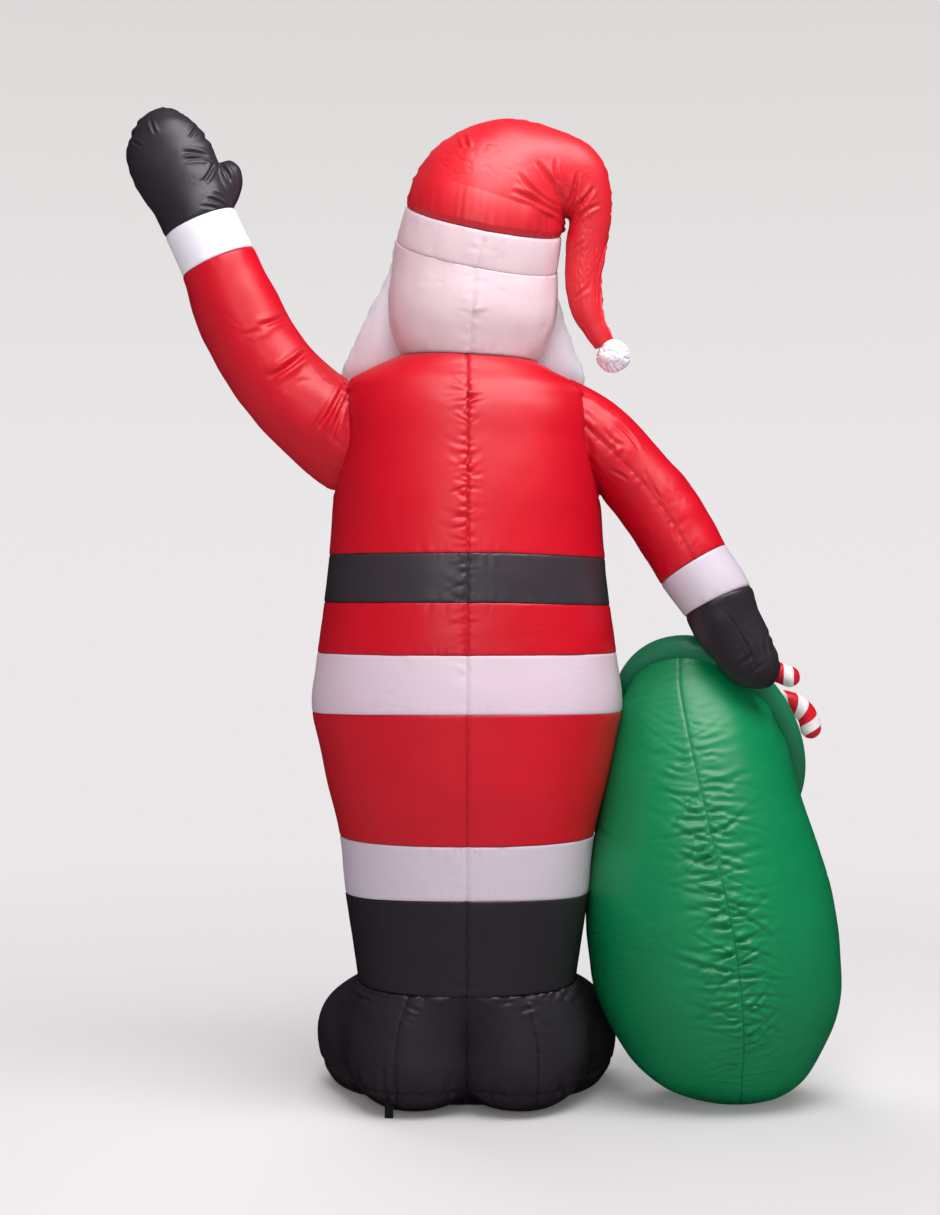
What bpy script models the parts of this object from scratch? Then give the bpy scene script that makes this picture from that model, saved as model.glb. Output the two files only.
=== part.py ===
"""An air-filled Santa of sewn satin cloth, as one closed solid for each sewn panel.

Metres, +Z up. The figure faces -Y. Its raised left arm is at +X, and its right mitten rests on the
sack at -X. The origin is on the floor, under the middle of the body.
"""

import math

import bmesh
import bpy
import numpy as np
from mathutils import Matrix, Vector

# Driving dimensions

HEIGHT = 2.40
PART = HEIGHT / 2400  # free forms are drawn in parts, 2400 of them to the height

SEAM_GAP = 0.0003
SEAM_PINCH = 0.006  # how deep the cloth dips at a seam
SEAM_REACH = 0.016  # how far from a seam the dip reaches

BOOT_HEIGHT = 0.295
SHAFT_HEIGHT = 0.212
TROUSER_BAND_HEIGHT = 0.137
TROUSER_HEIGHT = 0.296
HEM_BAND_HEIGHT = 0.143
SKIRT_HEIGHT = 0.121
BELT_HEIGHT = 0.114
COAT_HEIGHT = 0.472
CHIN_RISE = 0.015  # from the neck seam behind up to the line that free forms are measured from

BODY_SIDES = 26
LIMB_SIDES = 16
HEAD_SIDES = 24
HAT_SIDES = 20
SACK_SIDES = 24
BOOT_SIDES = 24
CANE_SIDES = 8
PANEL_STEP = 0.10  # the most height between two rings of a body panel

CUFF_LENGTH = 0.105
HAT_BAND_HEIGHT = 0.080
HAT_BAND_BULGE = 0.005
POMPOM_RADIUS = 0.043
NOSE_RADIUS = 0.030
RIM_RADIUS = 0.032
CANE_RADIUS = 0.026
TAB_WIDTH = 0.020
TAB_THICKNESS = 0.0025
TAB_LENGTH = 0.026

# Levels of the body's seams, from the floor up

ANKLE_Z = BOOT_HEIGHT
SHAFT_TOP = ANKLE_Z + SHAFT_HEIGHT
BAND_TOP = SHAFT_TOP + TROUSER_BAND_HEIGHT
HEM_Z = BAND_TOP + TROUSER_HEIGHT
HEM_TOP = HEM_Z + HEM_BAND_HEIGHT
WAIST_Z = HEM_TOP + SKIRT_HEIGHT
BELT_TOP = WAIST_Z + BELT_HEIGHT
NECK_Z = BELT_TOP + COAT_HEIGHT
CHIN_Z = NECK_Z + CHIN_RISE

# Half width, half depth and depth centre of the body, in parts, at each level
BODY_SECTIONS = (
    (ANKLE_Z, 262, 256, 0),
    (SHAFT_TOP, 294, 284, -4),
    (BAND_TOP, 308, 298, -8),
    (BAND_TOP + 0.48 * TROUSER_HEIGHT, 342, 318, -12),
    (BAND_TOP + 0.80 * TROUSER_HEIGHT, 362, 326, -16),
    (HEM_Z, 375, 330, -18),
    (HEM_TOP, 362, 324, -20),
    (WAIST_Z, 346, 312, -20),
    (BELT_TOP, 334, 300, -18),
    (BELT_TOP + 0.32 * COAT_HEIGHT, 322, 274, -12),
    (BELT_TOP + 0.58 * COAT_HEIGHT, 309, 240, -6),
    (BELT_TOP + 0.79 * COAT_HEIGHT, 300, 208, 0),
    (BELT_TOP + 0.87 * COAT_HEIGHT, 284, 190, 0),
    (BELT_TOP + 0.925 * COAT_HEIGHT, 240, 172, 0),
    (BELT_TOP + 0.965 * COAT_HEIGHT, 203, 160, 0),
    (NECK_Z, 166, 148, 0),
)
BODY_POWER = 2.25  # 2 is an ellipse, more is plumper
PANELS = (
    ("boot_shafts", ANKLE_Z, SHAFT_TOP, "black"),
    ("trouser_band", SHAFT_TOP, BAND_TOP, "white"),
    ("trousers", BAND_TOP, HEM_Z, "red"),
    ("coat_hem_band", HEM_Z, HEM_TOP, "white"),
    ("coat_skirt", HEM_TOP, WAIST_Z, "red"),
    ("belt", WAIST_Z, BELT_TOP, "black"),
    ("coat", BELT_TOP, NECK_Z, "red"),
)
SHOULDER_SLOPE = 0.045  # the neck seam falls this much to the right, down to level at the belt

# A limb's stations: x, y, z of its middle, z from the chin, then half width and half depth, in parts
LEFT_ARM = (
    (215, 0, -262, 118, 108),
    (306, 0, -198, 122, 112),
    (356, 0, -158, 118, 110),
    (435, 0, -86, 111, 104),
    (501, 0, 0, 106, 100),
    (560, 0, 114, 104, 97),
    (601, 0, 218, 93, 90),
    (646, -2, 316, 91, 82),
)
LEFT_HAND = (
    (672, -4, 380, 93, 72),
    (705, -6, 442, 102, 68),
    (723, -6, 486, 101, 63),
    (730, -5, 534, 83, 52),
    (732, -4, 570, 54, 36),
    (732, -3, 589, 25, 18),
    (732, -3, 595, 8, 6),
)
LEFT_THUMB = (
    (652, -8, 325, 48, 44),
    (612, -10, 375, 46, 42),
    (580, -11, 412, 41, 37),
    (568, -12, 442, 31, 28),
    (565, -12, 458, 16, 14),
    (564, -12, 464, 5, 5),
)
RIGHT_ARM = (
    (-205, 0, -112, 70, 90),
    (-258, 3, -158, 92, 100),
    (-318, 6, -210, 106, 104),
    (-400, 16, -294, 94, 96),
    (-461, 30, -372, 94, 93),
    (-551, 55, -520, 91, 88),
    (-602, 70, -597, 89, 82),
)
RIGHT_HAND = (
    (-628, 78, -641, 85, 68),
    (-655, 85, -686, 80, 58),
    (-684, 90, -735, 70, 50),
    (-707, 92, -773, 50, 38),
    (-718, 92, -793, 26, 20),
    (-722, 92, -800, 8, 7),
)

# The head, in parts: height over the chin, half width, half depth, middle x and middle y
HEAD = (
    (-20, 160, 140, -6, 0),
    (30, 186, 168, -9, -4),
    (75, 201, 190, -12, -8),
    (130, 205, 198, -14, -8),
    (190, 201, 196, -18, -6),
    (260, 196, 192, -22, -2),
    (330, 190, 186, -24, 0),
)
FACE_Y = -70 * PART  # the skin-coloured cloth starts in front of this
HAT_SEAT = Vector((-24 * PART, 0, CHIN_Z + 236 * PART))  # on the hat band's lower plane
HAT_LEAN = Vector((-0.20, 0.30, 1.0)).normalized()  # square to the hat band

# The hat bends over at its crotch: inner x, z and outer x, z of each fold, then half depth and middle y
HAT_FOLDS = (
    (-222, 285, 156, 355, 192, 0),
    (-238, 300, 134, 424, 186, 4),
    (-240, 312, 82, 497, 172, 8),
    (-240, 320, -2, 549, 152, 12),
    (-240, 323, -100, 569, 128, 16),
    (-241, 322, -203, 548, 106, 20),
    (-242, 318, -292, 508, 86, 24),
    (-241, 308, -336, 455, 72, 28),
    (-238, 294, -352, 392, 62, 30),
    (-232, 260, -354, 326, 54, 30),
    (-229, 214, -342, 254, 47, 30),
    (-233, 150, -331, 176, 43, 30),
    (-250, 85, -335, 98, 38, 30),
    (-282, 37, -346, 60, 30, 30),
    (-309, 8, -354, 32, 22, 30),
)

# The beard, in parts: height over the chin, half width, front y and back y
BEARD = (
    (-392, 36, -398, -330),
    (-372, 84, -412, -300),
    (-325, 142, -422, -260),
    (-250, 202, -414, -190),
    (-165, 254, -388, -120),
    (-85, 290, -352, -70),
    (-38, 300, -326, -38),
    (20, 276, -292, -18),
    (80, 250, -258, -8),
    (150, 226, -234, 0),
    (225, 208, -212, 6),
    (290, 196, -190, 10),
)
FACE_WINDOW = (-6, 190, 138, 132)  # middle x and height over the chin, half width, half height, in parts
NOSE = (-4, 132)  # middle x and height over the chin, in parts
# Half of the moustache, in parts: x out from the nose, y behind its foot, height over the chin, half width, half depth
MOUSTACHE = (
    (-14, -14, 88, 20, 22),
    (12, -18, 90, 30, 32),
    (46, -14, 84, 34, 34),
    (84, 4, 66, 27, 29),
    (112, 28, 58, 15, 17),
    (126, 42, 62, 5, 6),
)
POMPOM_MIDDLE = (-353, 30, -10)  # from the chin, in parts
HEAD_LEVELS = (-15, 12, 45, 90, 140, 190, 240, 290, 325)  # of the head's rings, over the chin, in parts
HAT_FOOT = 187  # half width of the hat's cloth inside its band, in parts
HAT_BULGE = (192, 0.020)  # its half width just above the band, in parts, and how far above

# The mouth of the sack, a slanting oval
MOUTH_MIDDLE = Vector((-0.600, -0.140, 0.855))
MOUTH_LONG = Vector((0.344, 0.481, 0.808)).normalized()
MOUTH_SHORT = Vector((0.909, -0.386, -0.159)).normalized()
MOUTH_HALF_LENGTH = 0.291
MOUTH_HALF_WIDTH = 0.210
# Rings of the sack below its mouth: height, middle x and y, half width, half depth, share of the mouth's tilt
SACK_RINGS = (
    (0.000, -0.645, -0.012, 0.084, 0.070, 0.0),
    (0.014, -0.640, -0.010, 0.124, 0.108, 0.0),
    (0.050, -0.632, -0.008, 0.176, 0.160, 0.0),
    (0.095, -0.624, -0.006, 0.216, 0.200, 0.0),
    (0.160, -0.616, -0.002, 0.258, 0.240, 0.0),
    (0.255, -0.607, 0.000, 0.294, 0.268, 0.0),
    (0.345, -0.599, 0.000, 0.303, 0.276, 0.02),
    (0.430, -0.591, 0.000, 0.302, 0.276, 0.08),
    (0.520, -0.583, -0.010, 0.292, 0.274, 0.22),
    (0.620, -0.577, -0.035, 0.268, 0.276, 0.42),
    (0.715, -0.580, -0.070, 0.249, 0.282, 0.64),
    (0.792, -0.591, -0.106, 0.236, 0.288, 0.84),
)
# Middle lines of the two sweets that lean out of the sack
UPPER_CANE = (
    (-0.600, -0.150, 0.830),
    (-0.612, -0.135, 0.940),
    (-0.640, -0.125, 1.005),
    (-0.690, -0.122, 1.036),
    (-0.745, -0.120, 1.036),
    (-0.800, -0.118, 1.018),
)
HOOK_MIDDLE = Vector((-0.790, -0.195, 0.880))
HOOK_RADIUS = 0.075
HOOK_STEM_FOOT = (-0.712, -0.180, 0.700)
HOOK_TIP_ANGLE = math.radians(4)

# Plan of a boot, in parts: middle x and y, half width, half length and outward turn in degrees
HEEL_OVAL = (120, 20, 178, 226, 0)
TOE_OVAL = (198, -200, 178, 262, 7)
BOOT_LEVELS = (0, 0.09, 0.22, 0.46, 0.66, 0.82, 0.93, 1.0)  # of a boot's rings, as shares of its height
BOOT_WIDE_Z = 0.46 * BOOT_HEIGHT  # the level where a boot is widest
BOOT_SHOULDER = (1.8, 0.65)  # powers that round a boot off up to the ankle
SOLE_INSET = 0.105  # how much smaller the flat of the sole is
BOOT_START = (150, -40)  # a place in the foot's plan, in parts, that sees all of its outline
ANKLE_START = (120, 0)  # the same for the ankle
BOOT_JOIN = 0.004  # how far each boot runs into the other at the middle seam
TAB_X = 182 * PART

# Cloth colours, as linear red, green and blue

COLOURS = {
    "red": (0.60, 0.015, 0.03, 1.0),
    "white": (0.80, 0.76, 0.80, 1.0),
    "black": (0.025, 0.022, 0.028, 1.0),
    "green": (0.004, 0.16, 0.065, 1.0),
    "skin": (0.80, 0.47, 0.34, 1.0),
    "webbing": (0.012, 0.012, 0.013, 1.0),
}
ROUGHNESS = {"webbing": 0.8}
SATIN = 0.42


# Curves and rings


def smooth(knots, values, at):
    """Values read at the given places from a smooth curve through the rows at the knots."""
    knots = np.asarray(knots, float)
    values = np.asarray(values, float)
    at = np.asarray(at, float)
    slopes = np.gradient(values, knots, axis=0)
    left = np.clip(np.searchsorted(knots, at, side="right") - 1, 0, len(knots) - 2)
    span = (knots[left + 1] - knots[left])[:, None]
    t = ((at - knots[left]) / span[:, 0])[:, None]
    start = (1 + 2 * t) * (1 - t) ** 2
    rise = t * (1 - t) ** 2 * span
    end = t * t * (3 - 2 * t)
    fall = t * t * (t - 1) * span
    return start * values[left] + rise * slopes[left] + end * values[left + 1] + fall * slopes[left + 1]


def oval(sides, power=2.0):
    """Points of a unit oval; a power above 2 makes it plumper."""
    turn = np.linspace(0, 2 * math.pi, sides, endpoint=False)
    wide = np.sign(np.cos(turn)) * np.abs(np.cos(turn)) ** (2 / power)
    deep = np.sign(np.sin(turn)) * np.abs(np.sin(turn)) ** (2 / power)
    return wide, deep


def ring(middle, wide_axis, deep_axis, sides, power=2.0):
    """One oval ring, its two half axes given as vectors."""
    wide, deep = oval(sides, power)
    return np.asarray(middle) + np.outer(wide, wide_axis) + np.outer(deep, deep_axis)


def body_ring(level, grow=0.0):
    """The body's outline at a level; grow moves it outwards."""
    levels = [row[0] for row in BODY_SECTIONS]
    sizes = [row[1:] for row in BODY_SECTIONS]
    half_width, half_depth, middle_y = smooth(levels, sizes, [level])[0] * PART
    points = ring(
        (0, middle_y, level), (half_width + grow, 0, 0), (0, half_depth + grow, 0), BODY_SIDES, BODY_POWER
    )
    share = np.clip((level - BELT_TOP) / COAT_HEIGHT, 0, 1)
    points[:, 2] += SHOULDER_SLOPE * share * points[:, 0]
    return points


def panel_levels(low, high):
    """Levels of a panel's rings: two close to each seam, for the dip, and even ones between."""
    low += SEAM_GAP / 2
    high -= SEAM_GAP / 2
    inner_low = low + SEAM_REACH
    inner_high = high - SEAM_REACH
    count = max(2, math.ceil((inner_high - inner_low) / PANEL_STEP) + 1)
    return [low, *np.linspace(inner_low, inner_high, count), high]


def limb_line(stations):
    """A limb's rows in metres, and how far along it each one lies."""
    rows = np.asarray(stations, float) * PART
    rows[:, 2] += CHIN_Z
    steps = np.linalg.norm(np.diff(rows[:, :3], axis=0), axis=1)
    return rows, np.concatenate([[0], np.cumsum(steps)])


def limb_rings(stations, at):
    """Rings across a limb, at the given distances along it."""
    rows, knots = limb_line(stations)
    at = np.clip(np.asarray(at, float), 0, knots[-1])
    places = smooth(knots, rows, at)
    ahead = smooth(knots, rows[:, :3], np.minimum(at + 1e-3, knots[-1]))
    behind = smooth(knots, rows[:, :3], np.maximum(at - 1e-3, 0))
    rings = []
    for place, along in zip(places, ahead - behind):
        along = along / np.linalg.norm(along)
        across = np.cross(along, (0, 1, 0))
        across /= np.linalg.norm(across)
        deep = np.cross(across, along)
        rings.append(ring(place[:3], across * place[3], deep * place[4], LIMB_SIDES))
    return rings


def pinched(rings, depth=SEAM_PINCH):
    """The same rings, the first and last drawn in towards their middles, as a seam draws cloth in."""
    drawn = [np.array(points) for points in rings]
    for points in (drawn[0], drawn[-1]):
        middle = points.mean(axis=0)
        away = points - middle
        points -= away / np.linalg.norm(away, axis=1)[:, None] * depth
    return drawn


# Meshes and objects


def new_object(name, mesh_builder, colour, collection):
    """An object whose mesh is filled in by the given function."""
    mesh = bpy.data.meshes.new(name)
    shape = bmesh.new()
    mesh_builder(shape)
    bmesh.ops.recalc_face_normals(shape, faces=shape.faces)
    # Flat triangles, so that a cutter made from a piece has the very same faces
    bmesh.ops.triangulate(shape, faces=shape.faces)
    shape.to_mesh(mesh)
    shape.free()
    mesh.shade_smooth()
    mesh.set_sharp_from_angle(angle=math.radians(50))
    thing = bpy.data.objects.new(name, mesh)
    collection.objects.link(thing)
    if colour:
        mesh.materials.append(cloth(colour))
    return thing


def cloth(colour):
    """The sewn cloth of one colour."""
    found = bpy.data.materials.get(colour)
    if found:
        return found
    material = bpy.data.materials.new(colour)
    material.use_nodes = True
    shader = material.node_tree.nodes["Principled BSDF"]
    shader.inputs["Base Color"].default_value = COLOURS[colour]
    shader.inputs["Roughness"].default_value = ROUGHNESS.get(colour, SATIN)
    shader.inputs["Metallic"].default_value = 0.0
    material.diffuse_color = COLOURS[colour]
    return material


def loft(name, rings, colour, collection, closed=False):
    """One skin through rings of equally many points, flat at both ends unless it closes on itself."""

    def build(shape):
        loops = [[shape.verts.new(point) for point in points] for points in rings]
        pairs = list(zip(loops, loops[1:]))
        if closed:
            pairs.append((loops[-1], loops[0]))
        for first, second in pairs:
            for i in range(len(first)):
                j = (i + 1) % len(first)
                shape.faces.new((first[i], first[j], second[j], second[i]))
        if not closed:
            shape.faces.new(loops[0])
            shape.faces.new(loops[-1])

    return new_object(name, build, colour, collection)


def ball(name, middle, half_sizes, colour, collection, rings=8, sides=12):
    """A ball with its own half size along each axis."""

    def build(shape):
        bmesh.ops.create_uvsphere(shape, u_segments=sides, v_segments=rings, radius=1)
        place = Matrix.Translation(middle) @ Matrix.Diagonal((*half_sizes, 1))
        bmesh.ops.transform(shape, matrix=place, verts=shape.verts)

    return new_object(name, build, colour, collection)


def cut_by_plane(thing, point, keep):
    """Leaves only what lies on the side of a plane that the keep vector points to."""
    shape = bmesh.new()
    shape.from_mesh(thing.data)
    everything = shape.verts[:] + shape.edges[:] + shape.faces[:]
    cut = bmesh.ops.bisect_plane(shape, geom=everything, plane_co=point, plane_no=keep, clear_inner=True)
    edges = [item for item in cut["geom_cut"] if isinstance(item, bmesh.types.BMEdge)]
    bmesh.ops.edgenet_fill(shape, edges=edges)
    bmesh.ops.recalc_face_normals(shape, faces=shape.faces)
    shape.to_mesh(thing.data)
    shape.free()


def settled(thing):
    """The object's mesh with its modifiers applied, set back on the object."""
    graph = bpy.context.evaluated_depsgraph_get()
    mesh = bpy.data.meshes.new_from_object(thing.evaluated_get(graph))
    thing.modifiers.clear()
    thing.data = mesh


def grown_copy(thing, cutters, by=2 * SEAM_GAP):
    """A cutter a little larger than the object, so that a gap is left round it."""
    settled(thing)
    copy = bpy.data.objects.new(thing.name + "_room", thing.data.copy())
    shape = bmesh.new()
    shape.from_mesh(copy.data)
    shape.normal_update()
    for vert in shape.verts:
        vert.co += vert.normal * by * max(1.0, vert.calc_shell_factor())
    shape.to_mesh(copy.data)
    shape.free()
    add_cutter(copy, cutters)
    return copy


def add_cutter(thing, cutters):
    """Puts a helper where the build leaves it out."""
    for home in list(thing.users_collection):
        home.objects.unlink(thing)
    cutters.objects.link(thing)
    thing.hide_render = True
    thing.display_type = "WIRE"


def combine(thing, other, operation="DIFFERENCE"):
    """Cuts the other object out of this one, or joins it on."""
    step = thing.modifiers.new(f"{operation.lower()} {other.name}", "BOOLEAN")
    step.operation = operation
    step.solver = "EXACT"
    step.object = other


def parts_of(*row):
    """A row in metres from one in parts."""
    return [value * PART for value in row]


# The body, from the boots up


def ray_to_oval(start, direction, plan):
    """How far a ray from inside an oval runs before it leaves it."""
    x, y, half_width, half_length = parts_of(*plan[:4])
    turn = math.radians(plan[4])
    spin = np.array([[math.cos(turn), math.sin(turn)], [-math.sin(turn), math.cos(turn)]])
    scale = np.array([1 / half_width, 1 / half_length])
    p = spin @ (np.asarray(start) - (x, y)) * scale
    d = spin @ np.asarray(direction) * scale
    a, b, c = d @ d, 2 * p @ d, p @ p - 1
    under = b * b - 4 * a * c
    return (-b + math.sqrt(under)) / (2 * a) if under > 0 else 0.0


def boot_rings(side):
    """Rings of one boot, from its flat sole to the ankle seam; both boots meet at the middle seam."""
    ankle = body_ring(ANKLE_Z)
    half_width, half_depth = np.abs(ankle[:, 0]).max(), np.ptp(ankle[:, 1]) / 2
    start = np.array(parts_of(*BOOT_START))
    ankle_start = np.array(parts_of(*ANKLE_START))
    rings = []
    for share in BOOT_LEVELS:
        z = share * BOOT_HEIGHT
        if z <= BOOT_WIDE_Z:
            spread = 1.0
            drop = 1 - z / BOOT_WIDE_Z
            inset = SOLE_INSET * (1 - math.sqrt(1 - drop**2))
        else:
            rise = (z - BOOT_WIDE_Z) / (BOOT_HEIGHT - BOOT_WIDE_Z)
            spread = (1 - rise ** BOOT_SHOULDER[0]) ** BOOT_SHOULDER[1]
            inset = 0.0
        points = []
        for turn in np.linspace(0, 2 * math.pi, BOOT_SIDES, endpoint=False):
            way = np.array([math.cos(turn), math.sin(turn)])
            wide = max(ray_to_oval(start, way, TOE_OVAL), ray_to_oval(start, way, HEEL_OVAL))
            wide -= inset * min(1, 1 + way[0])  # the flat runs on to the middle seam
            narrow = ankle_reach(ankle_start, way, half_width, half_depth)
            place = (start + way * wide) * spread + (ankle_start + way * narrow) * (1 - spread)
            place[0] = max(place[0], -BOOT_JOIN)
            points.append((side * place[0], place[1], z))
        rings.append(np.array(points))
    rings[-1][:, 2] -= SEAM_GAP / 2
    return rings


def ankle_reach(start, way, half_width, half_depth):
    """How far a ray in the ankle's plan runs before it meets the plump oval of the ankle seam."""
    low, high = 0.0, 4 * half_width
    for _ in range(40):
        middle = (low + high) / 2
        x, y = start + way * middle
        inside = abs(x / half_width) ** BODY_POWER + abs(y / half_depth) ** BODY_POWER < 1
        low, high = (middle, high) if inside else (low, middle)
    return low


def make_body(parts, cutters):
    """The stack of cloth panels from the ankles to the neck; returns a cutter that clears them all."""
    outline = []
    for name, low, high, colour in PANELS:
        levels = panel_levels(low, high)
        loft(name, pinched([body_ring(level) for level in levels]), colour, parts)
        outline += [body_ring(level, 2 * SEAM_GAP) for level in levels]
    outline[0][:, 2] -= 2 * SEAM_GAP
    outline[-1][:, 2] += 2 * SEAM_GAP
    room = loft("body_room", outline, None, cutters)
    add_cutter(room, cutters)
    return room


def make_boots(parts, cutters):
    """Both boots as one black chamber, joined along the middle seam."""
    boots = loft("boots", boot_rings(1), "black", parts)
    right = loft("right_boot", boot_rings(-1), "black", cutters)
    add_cutter(right, cutters)
    combine(boots, right, "UNION")
    return boots


def make_tab(parts):
    """The black webbing tab that hangs at the sole seam of the left heel."""

    def build(shape):
        bmesh.ops.create_cube(shape, size=1)
        place = Matrix.Translation((TAB_X, heel_back() + TAB_THICKNESS / 2, SEAM_GAP + TAB_LENGTH / 2))
        size = Matrix.Diagonal((TAB_WIDTH, TAB_THICKNESS, TAB_LENGTH, 1))
        bmesh.ops.transform(shape, matrix=place @ size, verts=shape.verts)

    return new_object("tether_tab", build, "webbing", parts)


def heel_back():
    """How far back the left heel reaches at the top of the tab, just over the floor."""
    ring_low = boot_rings(1)[1]
    order = np.argsort(ring_low[:, 0])
    back = [i for i in order if ring_low[i, 1] > 0]
    places = TAB_X + TAB_WIDTH * np.array([-0.5, 0, 0.5])
    return float(np.interp(places, ring_low[back, 0], ring_low[back, 1]).max()) + SEAM_GAP


# Arms


def make_arm(side, arm, hand, parts, cutters, body_room):
    """A sleeve, its cuff and its mitten along one line; returns the sleeve's cutter too."""
    line = arm + hand
    knots = limb_line(line)[1]
    wrist = knots[len(arm) - 1]
    seam = wrist - CUFF_LENGTH
    shares = np.linspace(0, 1, 9)
    sleeve_at = [*shares * (seam - SEAM_REACH), seam]
    cuff_at = np.array([seam + SEAM_GAP, seam + SEAM_REACH, (seam + wrist) / 2, wrist - SEAM_REACH, wrist])
    hand_at = [wrist + SEAM_GAP, *(wrist + SEAM_REACH + shares * (knots[-1] - wrist - SEAM_REACH))]
    sleeve_rings = limb_rings(line, sleeve_at)
    sleeve_rings[-1] = pinched(sleeve_rings)[-1]
    hand_rings = limb_rings(line, hand_at)
    hand_rings[0] = pinched(hand_rings)[0]
    sleeve = loft(f"sleeve_{side}", sleeve_rings, "red", parts)
    sleeve_room = grown_copy(sleeve, cutters)
    combine(sleeve, body_room)
    cuff = loft(f"cuff_{side}", pinched(limb_rings(line, cuff_at)), "white", parts)
    mitten = loft(f"mitten_{side}", hand_rings, "black", parts)
    return sleeve_room, cuff, mitten


def add_thumb(mitten, cuff, cutters):
    """Joins the thumb to the raised mitten, clear of its cuff."""
    length = limb_line(LEFT_THUMB)[1][-1]
    thumb = loft("thumb", limb_rings(LEFT_THUMB, np.linspace(0, length, 8)), "black", cutters)
    add_cutter(thumb, cutters)
    combine(mitten, thumb, "UNION")
    combine(mitten, grown_copy(cuff, cutters))


# Head, beard and hat


def head_ring(height, grow=0.0):
    """The head's outline at a height over the chin."""
    heights = [row[0] for row in HEAD]
    half_width, half_depth, x, y = smooth(heights, [row[1:] for row in HEAD], [height])[0] * PART
    middle = (x, y, CHIN_Z + height * PART)
    return ring(middle, (half_width + grow, 0, 0), (0, half_depth + grow, 0), HEAD_SIDES, 2.1)


def head_rings(grow=0.0):
    """Rings of the whole head, from the sloping neck seam to inside the hat."""
    rings = []
    for height in HEAD_LEVELS:
        points = head_ring(height, grow)
        share = (height - HEAD_LEVELS[0]) / (HEAD_LEVELS[3] - HEAD_LEVELS[0])
        points[:, 2] += SHOULDER_SLOPE * max(0, 1 - share) * points[:, 0]
        rings.append(points)
    rings[0][:, 2] += SEAM_GAP
    return rings


def make_head(parts, cutters):
    """White cloth hair behind and skin-coloured cloth in front, both cut under the hat band."""
    for name, colour, keep in (("hair", "white", 1), ("face", "skin", -1)):
        piece = loft(name, head_rings(), colour, parts)
        cut_by_plane(piece, HAT_SEAT - HAT_LEAN * SEAM_GAP, -HAT_LEAN)
        cut_by_plane(piece, (0, FACE_Y + keep * SEAM_GAP / 2, 0), (0, keep, 0))
    room = loft("head_room", head_rings(2 * SEAM_GAP), None, cutters)
    add_cutter(room, cutters)
    return room


def make_beard(parts, cutters, rooms):
    """Whiskers from under the hat band, and a full beard down the chest, with room for the face."""
    rings = []
    for height, half_width, front, back in sorted(BEARD):
        middle = parts_of(-4, (front + back) / 2, height)
        middle[2] += CHIN_Z
        wide, deep = parts_of(half_width, (back - front) / 2)
        rings.append(ring(middle, (wide, 0, 0), (0, deep, 0), HEAD_SIDES, 2.3))
    beard = loft("beard", rings, "white", parts)
    cut_by_plane(beard, HAT_SEAT - HAT_LEAN * 2 * SEAM_GAP, -HAT_LEAN)
    x, height, half_width, half_height = parts_of(*FACE_WINDOW)

    def build(shape):
        bmesh.ops.create_cone(shape, cap_ends=True, segments=24, radius1=1, radius2=1, depth=2)
        turn = Matrix.Rotation(math.pi / 2, 4, "X")
        place = Matrix.Translation((x, FACE_Y - 300 * PART, CHIN_Z + height))
        size = Matrix.Diagonal((half_width, 300 * PART, half_height, 1))
        bmesh.ops.transform(shape, matrix=place @ size @ turn, verts=shape.verts)

    window = new_object("face_window", build, None, cutters)
    add_cutter(window, cutters)
    for room in (*rooms, window):
        combine(beard, room)
    return beard


def face_front(x, height):
    """The y of the face's surface at an x and a height over the chin, both in parts."""
    points = head_ring(height)
    front = points[points[:, 1] < 0]
    order = np.argsort(front[:, 0])
    return float(np.interp(x * PART, front[order, 0], front[order, 1]))


def make_features(parts, cutters, rooms):
    """The nose and the two lobes of the moustache, each sewn on."""
    nose_x, nose_height = NOSE
    front = face_front(nose_x, nose_height)
    middle = (nose_x * PART, front - 0.55 * NOSE_RADIUS, CHIN_Z + nose_height * PART)
    nose = ball("nose", middle, (NOSE_RADIUS, 1.15 * NOSE_RADIUS, 1.05 * NOSE_RADIUS), "skin", parts)
    combine(nose, rooms[0])
    lobes = []
    for side in (1, -1):
        rows = [
            (nose_x + side * x, front / PART + y, height, wide, deep) for x, y, height, wide, deep in MOUSTACHE
        ]
        length = limb_line(rows)[1][-1]
        lobe_rings = limb_rings(rows, np.linspace(0, length, 9))
        lobes.append(loft(f"moustache_{side}", lobe_rings, "white", parts))
    moustache = lobes[0]
    moustache.name = "moustache"
    add_cutter(lobes[1], cutters)
    combine(moustache, lobes[1], "UNION")
    for room in (*rooms, grown_copy(nose, cutters)):
        combine(moustache, room)
    return nose, moustache


def hat_axes():
    """Two directions along the hat band's plane: to the figure's left, and to its back."""
    wide = (Vector((1, 0, 0)) - HAT_LEAN * HAT_LEAN.x).normalized()
    deep = HAT_LEAN.cross(wide)
    return np.array(wide), np.array(deep)


def make_hat_band(parts):
    """The white band round the head."""
    wide, deep = hat_axes()
    rings = []
    for share in (0.0, 0.2, 0.5, 0.8, 1.0):
        swell = HAT_BAND_BULGE * math.sin(math.pi * share) ** 0.6
        middle = np.array(HAT_SEAT + HAT_LEAN * HAT_BAND_HEIGHT * share)
        half_width, half_depth = parts_of(192 - 4 * share, 194 - 4 * share)
        rings.append(ring(middle, wide * (half_width + swell), deep * (half_depth + swell), HEAD_SIDES, 2.1))
    return loft("hat_band", rings, "white", parts)


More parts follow.
